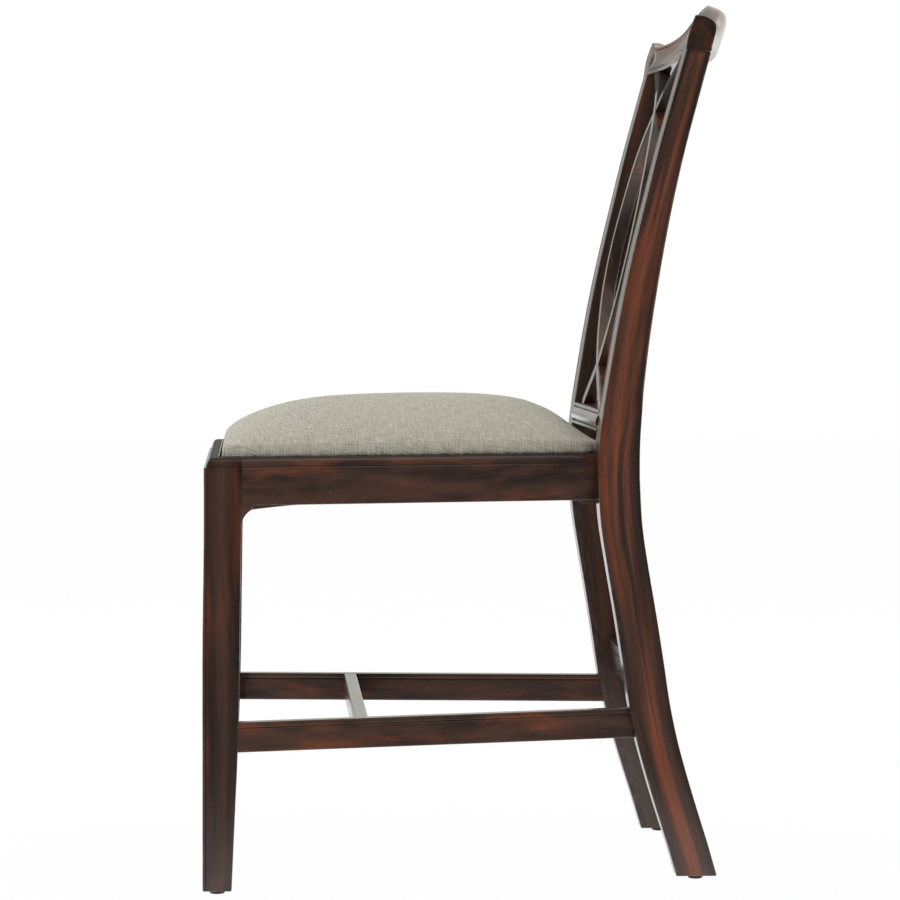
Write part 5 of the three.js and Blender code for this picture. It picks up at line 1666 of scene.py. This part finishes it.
def shader_group(name, inputs, outputs):
    tree = bpy.data.node_groups.new(name, "ShaderNodeTree")
    for label, kind in inputs.items():
        tree.interface.new_socket(label, in_out="INPUT", socket_type="NodeSocket" + kind)
    for label, kind in outputs.items():
        tree.interface.new_socket(label, in_out="OUTPUT", socket_type="NodeSocket" + kind)
    first, last = tree.nodes.new("NodeGroupInput"), tree.nodes.new("NodeGroupOutput")
    return tree, first.outputs, last.inputs


def place_group(tree, group, values):
    return add_node(tree, "Group", values, node_tree=group).outputs


# Finishes: how strongly each effect shows, as shares, and depths in metres
GRAIN_BEND = 0.05
FINE_LINE_SHARE = 0.4
PORE_SHARE = 0.55
PORE_COLOUR_SHARES = {0: 0.35, 1: 0.3, 2: 0.28}
RUBBED_WEAR_SHARES = (0.55, 1.0)
RUBBED_SHARE = 0.35
GROOVE_AND_SHADOW_SHARES = (-0.3, -0.95)
GROOVE_AND_SHADOW_SHARE = 0.85
GROOVE_AND_SHADOW_ROUGHNESS = 0.7
LACQUER_ROUGHNESS = (0.3, 0.7, 0.3, 0.42)
LACQUER_SPECULAR = 0.3
LACQUER_COAT = 0.75
LACQUER_COAT_ROUGHNESS = 0.14
MAHOGANY_RELIEF = 0.00006
BARE_WOOD_RELIEF = 0.0002
BARE_WOOD_ROUGHNESS = 0.72
BARE_WOOD_TURN = (math.pi / 2, 0, 0.8)
PLYWOOD_ROUGHNESS = 0.78
PLYWOOD_TURN = (math.pi / 2, 0, 0)
PLYWOOD_LAYER = 2.4
PLYWOOD_EDGE_SHARE = 0.7
WEAVE_CROWN_SHADE_SHARE = 0.4
WEAVE_SHADE_LEVEL = 0.22
WEAVE_SLUB_SHARE = 0.6
LINEN_THREADS = 600.0
LINEN_SLUB = 1.3
LINEN_SHADE_SHARES = (0.1, 0.9)
LINEN_DARK_FLECK_SHARE = 0.6
LINEN_PALE_FLECK_SHARE = 0.5
LINEN_ROUGHNESS = 0.95
LINEN_SPECULAR = 0.2
LINEN_SHEEN = 0.15
LINEN_SHEEN_ROUGHNESS = 0.5
LINEN_RELIEF = 0.0005
LINING_THREADS = 1300.0
LINING_ROUGHNESS = 0.9
LINING_RELIEF = 0.00015
STEEL_MOTTLE_SHARES = (0.35, 0.7)
STEEL_ROUGHNESS = (0.3, 0.7, 0.28, 0.45)
NYLON_SCUFF_SHARES = (0.45, 0.7)
NYLON_ROUGHNESS = (0.3, 0.7, 0.38, 0.6)
NYLON_RELIEF = 0.00005


# Wood grain along a plank: broad streaks, patches of a warmer colour, fine lines and pores
def grain_group():
    tree, given, out = shader_group(
        "wood_grain",
        {
            "Plank": "Vector", "Dark": "Color", "Middle": "Color", "Warm": "Color",
            "Warmth": "Float", "Fineness": "Float",
        },
        {"Color": "Color", "Relief": "Float"},
    )
    bend = maths(tree, "SUBTRACT", noise_at(tree, given["Plank"], "grain_bends"), 0.5)
    push = maths(tree, "MULTIPLY", bend, GRAIN_BEND)
    shift = add_node(tree, "CombineXYZ", {"X": push, "Y": push}).outputs[0]
    bent = add_node(tree, "VectorMath", {0: given["Plank"], 1: shift}, operation="ADD").outputs[0]
    streaks = mask_at(tree, bent, "grain_streaks")
    colour = blend_colours(tree, streaks, given["Dark"], given["Middle"])
    warm = maths(tree, "MULTIPLY", mask_at(tree, bent, "grain_patches"), given["Warmth"])
    colour = blend_colours(tree, warm, colour, given["Warm"])
    fine = noise_at(tree, bent, "grain_lines")
    lines = maths(tree, "MULTIPLY", maths(tree, "SUBTRACT", fine, 0.5), given["Fineness"])
    shade = maths(tree, "ADD", lines, 1.0)
    shade_colour = add_node(tree, "CombineColor", {0: shade, 1: shade, 2: shade}).outputs[0]
    colour = blend_colours(tree, 1.0, colour, shade_colour, "MULTIPLY")
    pores = mask_at(tree, bent, "grain_pores")
    dark = add_node(tree, "CombineColor", PORE_COLOUR_SHARES).outputs[0]
    holes = blend_colours(tree, 1.0, colour, dark, "MULTIPLY")
    colour = blend_colours(tree, maths(tree, "MULTIPLY", pores, PORE_SHARE), colour, holes)
    relief = maths(tree, "SUBTRACT", maths(tree, "MULTIPLY", fine, FINE_LINE_SHARE), pores)
    tree.links.new(colour, out["Color"])
    tree.links.new(relief, out["Relief"])
    return tree


# Plain weave from its threads' places: over and under, with thick and thin threads
def weave_group():
    tree, given, out = shader_group(
        "plain_weave",
        {"Threads": "Vector", "Count": "Float", "Slub": "Float"},
        {"Shade": "Float", "Height": "Float"},
    )

    def mix_values(share, first, second):
        return add_node(tree, "Mix", {0: share, 2: first, 3: second}, data_type="FLOAT").outputs[0]

    values = {0: given["Threads"], "Scale": given["Count"]}
    scaled = add_node(tree, "VectorMath", values, operation="SCALE").outputs[0]
    parts = add_node(tree, "SeparateXYZ", {0: scaled}).outputs
    bumps = []
    for part in (parts["X"], parts["Y"]):
        wave = maths(tree, "SINE", maths(tree, "MULTIPLY", part, math.pi))
        bumps.append(maths(tree, "ABSOLUTE", wave))
    columns, rows = maths(tree, "FLOOR", parts["X"]), maths(tree, "FLOOR", parts["Y"])
    cells = maths(tree, "ADD", columns, rows)
    over = maths(tree, "ABSOLUTE", maths(tree, "MODULO", cells, 2.0))
    warp = noise_at(tree, scaled, "warp_threads")
    weft = noise_at(tree, scaled, "weft_threads")
    both = maths(tree, "MULTIPLY", maths(tree, "ADD", warp, weft), 0.5)
    slub = mix_values(0.5, mix_values(over, warp, weft), both)
    height = mix_values(over, *bumps)
    shade = maths(tree, "MULTIPLY_ADD", maths(tree, "SUBTRACT", slub, 0.5), given["Slub"], 0.5)
    level = maths(tree, "SUBTRACT", shade, WEAVE_SHADE_LEVEL)
    # Each thread is lighter on its crown than in its dips, a painted shade of the weave's relief
    shaded_crossing = maths(tree, "MULTIPLY_ADD", height, WEAVE_CROWN_SHADE_SHARE, level)
    thick = maths(tree, "MULTIPLY", slub, WEAVE_SLUB_SHARE)
    tree.links.new(shaded_crossing, out["Shade"])
    tree.links.new(maths(tree, "ADD", height, thick), out["Height"])
    return tree


# A new material, with plain values for the sockets of its shader
def new_material(name, **plain):
    material = bpy.data.materials.new(name)
    material.use_nodes = True
    tree = material.node_tree
    shader = tree.nodes["Principled BSDF"]
    for label, value in plain.items():
        shader.inputs[label.replace("_", " ")].default_value = value
    return material, tree, shader


def set_bump(tree, shader, height, distance):
    values = {"Height": height, "Distance": distance, "Strength": 1.0}
    tree.links.new(add_node(tree, "Bump", values).outputs[0], shader.inputs["Normal"])


def read_attribute(tree, name):
    return add_node(tree, "Attribute", attribute_name=name).outputs


def object_place(tree):
    return add_node(tree, "TexCoord").outputs["Object"]


def make_mahogany(grain):
    material, tree, shader = new_material(
        "mahogany", Specular_IOR_Level=LACQUER_SPECULAR, Coat_Roughness=LACQUER_COAT_ROUGHNESS,
    )
    plank_place = read_attribute(tree, "grain")["Vector"]
    wear = read_attribute(tree, "wear")["Fac"]
    stain = read_attribute(tree, "stain")["Fac"]
    natural = place_group(tree, grain, {
        "Plank": plank_place,
        "Dark": tint(46, 31, 26),
        "Middle": tint(82, 54, 41),
        "Warm": tint(128, 64, 35),
        "Warmth": 0.85,
        "Fineness": 0.55,
    })
    # Painted shade: the colour is darkened and made less red along the edges and over the crest's
    # ends; a value below 0 warms it instead
    edge_shade_colour = blend_colours(tree, 1.0, natural["Color"], tint(178, 186, 178), "MULTIPLY")
    colour = blend_colours(tree, stain, natural["Color"], edge_shade_colour)
    glow = maths(tree, "MAXIMUM", maths(tree, "MULTIPLY", stain, -1.0), 0.0)
    glow = maths(tree, "MULTIPLY", glow, mask_at(tree, plank_place, "warm_streaks"))
    warm, mark, bare, deep = tint(134, 72, 46), tint(18, 12, 11), tint(128, 98, 78), tint(24, 16, 13)
    colour = blend_colours(tree, glow, colour, warm)
    colour = blend_colours(tree, mask_at(tree, plank_place, "dark_marks"), colour, mark)
    patchy = mask_at(tree, plank_place, "rubbed_patches")
    rubbed = maths(tree, "MULTIPLY", remap(tree, wear, *RUBBED_WEAR_SHARES), patchy)
    colour = blend_colours(tree, maths(tree, "MULTIPLY", rubbed, RUBBED_SHARE), colour, bare)
    # Grooves and creases are darker, and the deep colour also paints the shadows under the crest and
    # the cushion; these lose the coat's gloss too
    darkening = remap(tree, wear, *GROOVE_AND_SHADOW_SHARES)
    colour = blend_colours(tree, maths(tree, "MULTIPLY", darkening, GROOVE_AND_SHADOW_SHARE), colour, deep)
    tree.links.new(colour, shader.inputs["Base Color"])
    rough = remap(tree, noise_at(tree, plank_place, "lacquer_clouds"), *LACQUER_ROUGHNESS)
    dull = maths(tree, "MULTIPLY", darkening, GROOVE_AND_SHADOW_ROUGHNESS)
    tree.links.new(maths(tree, "MAXIMUM", rough, dull), shader.inputs["Roughness"])
    coat = remap(tree, darkening, 0.0, 1.0, LACQUER_COAT, 0.0)
    tree.links.new(coat, shader.inputs["Coat Weight"])
    set_bump(tree, shader, natural["Relief"], MAHOGANY_RELIEF)
    return material


def make_bare_wood(grain):
    material, tree, shader = new_material("secondary_wood", Roughness=BARE_WOOD_ROUGHNESS)
    turned = {"Vector": object_place(tree), "Rotation": BARE_WOOD_TURN}
    made = place_group(tree, grain, {
        "Plank": add_node(tree, "Mapping", turned).outputs[0],
        "Dark": tint(84, 68, 52),
        "Middle": tint(128, 106, 80),
        "Warm": tint(112, 82, 56),
        "Warmth": 0.4,
        "Fineness": 0.35,
    })
    tree.links.new(made["Color"], shader.inputs["Base Color"])
    set_bump(tree, shader, made["Relief"], BARE_WOOD_RELIEF)
    return material


# Plywood, with layers along its edges. The cover wraps over its upper part, in a darker linen colour
# that paints the shade under the cushion.
def make_plywood(grain):
    material, tree, shader = new_material("plywood", Roughness=PLYWOOD_ROUGHNESS)
    place = object_place(tree)
    turned = {"Vector": place, "Rotation": PLYWOOD_TURN}
    made = place_group(tree, grain, {
        "Plank": add_node(tree, "Mapping", turned).outputs[0],
        "Dark": tint(168, 138, 98),
        "Middle": tint(205, 178, 136),
        "Warm": tint(190, 150, 100),
        "Warmth": 0.3,
        "Fineness": 0.3,
    })
    height = add_node(tree, "SeparateXYZ", {0: place}).outputs["Z"]
    layers = maths(tree, "FLOOR", maths(tree, "MULTIPLY", height, 1 / (PLYWOOD_LAYER * MM)))
    layers = maths(tree, "ABSOLUTE", maths(tree, "MODULO", layers, 2.0))
    normal = add_node(tree, "NewGeometry").outputs["Normal"]
    upright = maths(tree, "ABSOLUTE", add_node(tree, "SeparateXYZ", {0: normal}).outputs["Z"])
    edge = maths(tree, "MULTIPLY", maths(tree, "LESS_THAN", upright, 0.5), layers)
    edge = maths(tree, "MULTIPLY", edge, PLYWOOD_EDGE_SHARE)
    colour = blend_colours(tree, edge, made["Color"], tint(120, 90, 58))
    turn_level = (RAIL_TOP - RABBET_DEPTH + COVER_TURN) * MM
    shaded_wrap = maths(tree, "GREATER_THAN", height, turn_level)
    colour = blend_colours(tree, shaded_wrap, colour, tint(104, 100, 88))
    tree.links.new(colour, shader.inputs["Base Color"])
    set_bump(tree, shader, made["Relief"], BARE_WOOD_RELIEF)
    return material


def make_linen(weave):
    material, tree, shader = new_material(
        "seat_linen", Roughness=LINEN_ROUGHNESS, Specular_IOR_Level=LINEN_SPECULAR,
        Sheen_Weight=LINEN_SHEEN, Sheen_Roughness=LINEN_SHEEN_ROUGHNESS,
    )
    threads = read_attribute(tree, "threads")["Vector"]
    values = {"Threads": threads, "Count": LINEN_THREADS, "Slub": LINEN_SLUB}
    made = place_group(tree, weave, values)
    shade = remap(tree, made["Shade"], *LINEN_SHADE_SHARES)
    colour = blend_colours(tree, shade, tint(148, 144, 129), tint(230, 226, 209))
    flecks = maths(tree, "MULTIPLY", mask_at(tree, threads, "dark_flecks"), LINEN_DARK_FLECK_SHARE)
    colour = blend_colours(tree, flecks, colour, tint(112, 108, 97))
    flecks = maths(tree, "MULTIPLY", mask_at(tree, threads, "pale_flecks"), LINEN_PALE_FLECK_SHARE)
    colour = blend_colours(tree, flecks, colour, tint(226, 224, 212))
    tree.links.new(colour, shader.inputs["Base Color"])
    set_bump(tree, shader, made["Height"], LINEN_RELIEF)
    return material


def make_dust_cloth(weave):
    material, tree, shader = new_material("dust_cloth", Roughness=LINING_ROUGHNESS)
    values = {"Threads": object_place(tree), "Count": LINING_THREADS, "Slub": 1.0}
    made = place_group(tree, weave, values)
    colour = blend_colours(tree, made["Shade"], tint(22, 22, 23), tint(48, 48, 50))
    tree.links.new(colour, shader.inputs["Base Color"])
    set_bump(tree, shader, made["Height"], LINING_RELIEF)
    return material


def make_steel():
    material, tree, shader = new_material("screw_steel", Metallic=1.0)
    mottle = noise_at(tree, object_place(tree), "steel_mottle")
    share = remap(tree, mottle, *STEEL_MOTTLE_SHARES)
    colour = blend_colours(tree, share, tint(150, 148, 142), tint(190, 188, 182))
    tree.links.new(colour, shader.inputs["Base Color"])
    tree.links.new(remap(tree, mottle, *STEEL_ROUGHNESS), shader.inputs["Roughness"])
    return material


def make_nylon():
    material, tree, shader = new_material("glide_nylon")
    scuff = noise_at(tree, object_place(tree), "nylon_scuffs")
    share = remap(tree, scuff, *NYLON_SCUFF_SHARES)
    colour = blend_colours(tree, share, tint(24, 24, 25), tint(52, 51, 50))
    tree.links.new(colour, shader.inputs["Base Color"])
    tree.links.new(remap(tree, scuff, *NYLON_ROUGHNESS), shader.inputs["Roughness"])
    set_bump(tree, shader, scuff, NYLON_RELIEF)
    return material


grain, weave = grain_group(), weave_group()
mahogany = make_mahogany(grain)
for piece in wood:
    piece.data.materials.append(mahogany)


def dress(piece, material, slot, *nodes):
    if material and not piece.data.materials:
        piece.data.materials.append(material)
    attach(piece, "root")
    if nodes:
        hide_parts(*nodes)


bare_wood, steel, nylon = make_bare_wood(grain), make_steel(), make_nylon()
for end in ("front", "rear"):
    for side in (1, -1):
        place = end + "_" + side_name(side)
        block, glide = "corner_block_" + place, "foot_glide_" + place
        cut = ((BLOCK_CUT_DEPTH, RAIL_BOTTOM), BLOCK_CUT_SLOPE) if end == "rear" else None
        dress(eased_copy(block, BLOCK_EASE, "_eased", cut), bare_wood, "secondary_wood", block)
        dress(eased_copy(glide, GLIDE_EASE, "_eased"), nylon, "glide_nylon", glide)

frame_screws, screw_nodes = screws(steel)
dress(frame_screws, steel, "screw_steel", *screw_nodes)
dress(staples(steel), steel, "screw_steel")

cushion = seat_cushion()
dress(cushion, make_linen(weave), "seat_fabric", "seat_foam", "seat_cover")

lining, lining_flat, lining_area = dust_cloth()
dress(lining, make_dust_cloth(weave), "dust_cloth", "dust_cloth")

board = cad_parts["seat_board"]
plywood = make_plywood(grain)
for slot in board.material_slots:
    slot.material = plywood


def place_towards(thing, place, look):
    bpy.context.scene.collection.objects.link(thing)
    thing.location = place
    thing.rotation_mode = "QUATERNION"
    thing.rotation_quaternion = look.to_track_quat("-Z", "Y")


# Camera at the photograph's viewing angle
def make_camera():
    data = bpy.data.cameras.new("camera")
    data.sensor_width = CAMERA_SENSOR
    data.lens = CAMERA_LENS
    data.clip_end = CAMERA_CLIP
    camera = bpy.data.objects.new("camera", data)
    level, drop = math.cos(CAMERA_PITCH), math.sin(CAMERA_PITCH)
    look = Vector((-math.cos(CAMERA_YAW) * level, math.sin(CAMERA_YAW) * level, -drop))
    x, y, z = CAMERA_PLACE
    place_towards(camera, (x, FRONT_FACE + y, z), look)
    bpy.context.scene.camera = camera


# 1 for the rays that are named, else 0
def ray_share(tree, *names):
    path = add_node(tree, "LightPath")
    total = path.outputs[names[0]]
    for name in names[1:]:
        total = maths(tree, "MAXIMUM", total, path.outputs[name])
    return total


def mix_shaders(tree, share, first, second):
    return add_node(tree, "MixShader", {0: share, 1: first, 2: second}).outputs[0]


# White to the camera, a plain soft light on the chair, and a darker room in its reflections
def make_world():
    world = bpy.data.worlds.new("studio")
    bpy.context.scene.world = world
    world.use_nodes = True
    tree = world.node_tree
    tree.nodes.clear()
    out = add_node(tree, "OutputWorld")
    white = (1, 1, 1, 1)
    seen = add_node(tree, "Background", {"Color": white, "Strength": 1.0}).outputs[0]
    soft = add_node(tree, "Background", {"Color": white, "Strength": WORLD_LIGHT}).outputs[0]
    place = add_node(tree, "TexCoord").outputs["Generated"]
    across = add_node(tree, "SeparateXYZ", {0: place}).outputs
    fade = remap(tree, across["X"], WORLD_FADE_START, WORLD_FADE_END, WORLD_DIM, 1.0)
    back = maths(tree, "MULTIPLY_ADD", across["Y"], WORLD_BACK_SLOPE, WORLD_BACK_LEVEL)
    back = maths(tree, "MINIMUM", maths(tree, "MAXIMUM", back, WORLD_BACK_LEAST), WORLD_BACK_MOST)
    values = {"Color": WORLD_MIRRORED, "Strength": maths(tree, "MULTIPLY", fade, back)}
    mirrored = add_node(tree, "Background", values).outputs[0]
    lit = mix_shaders(tree, ray_share(tree, "Is Glossy Ray"), soft, mirrored)
    direct = ray_share(tree, "Is Camera Ray", "Is Transmission Ray")
    tree.links.new(mix_shaders(tree, direct, lit, seen), out.inputs["Surface"])


# White floor that keeps the chair's shadow, and fades towards the camera in reflections
def make_floor():
    mesh = bpy.data.meshes.new("floor")
    signs = [(-1, -1), (1, -1), (1, 1), (-1, 1)]
    corners = [(x * FLOOR_REACH, y * FLOOR_REACH, 0) for x, y in signs]
    mesh.from_pydata(corners, [], [(0, 1, 2, 3)])
    floor = bpy.data.objects.new("floor", mesh)
    bpy.context.scene.collection.objects.link(floor)
    material = bpy.data.materials.new("floor_white")
    material.use_nodes = True
    tree = material.node_tree
    tree.nodes.clear()
    out = add_node(tree, "OutputMaterial")
    paint = add_node(tree, "BsdfDiffuse", {"Color": (FLOOR_PAINT, FLOOR_PAINT, FLOOR_PAINT, 1)})
    across = add_node(tree, "SeparateXYZ", {0: object_place(tree)}).outputs["X"]
    mirrored = remap(tree, across, FLOOR_FADE_START, FLOOR_FADE_END, 1.0, FLOOR_DIM)
    direct = ray_share(tree, "Is Camera Ray", "Is Transmission Ray")
    glow = add_node(tree, "Emission", {"Strength": maths(tree, "MAXIMUM", mirrored, direct)})
    share = ray_share(tree, "Is Camera Ray", "Is Transmission Ray", "Is Glossy Ray")
    share = maths(tree, "MULTIPLY", share, FLOOR_WHITE_SHARE)
    surface = mix_shaders(tree, share, paint.outputs[0], glow.outputs[0])
    tree.links.new(surface, out.inputs["Surface"])
    mesh.materials.append(material)


def make_lamp(name, place, size, power):
    data = bpy.data.lights.new(name, "AREA")
    data.shape = "RECTANGLE"
    data.size, data.size_y = size
    data.energy = power
    lamp = bpy.data.objects.new(name, data)
    place_towards(lamp, place, Vector(LAMP_TARGET) - Vector(place))


make_camera()
make_world()
make_floor()
for name, settings in LAMPS.items():
    make_lamp(name, **settings)
bpy.context.scene.view_settings.view_transform = "Standard"
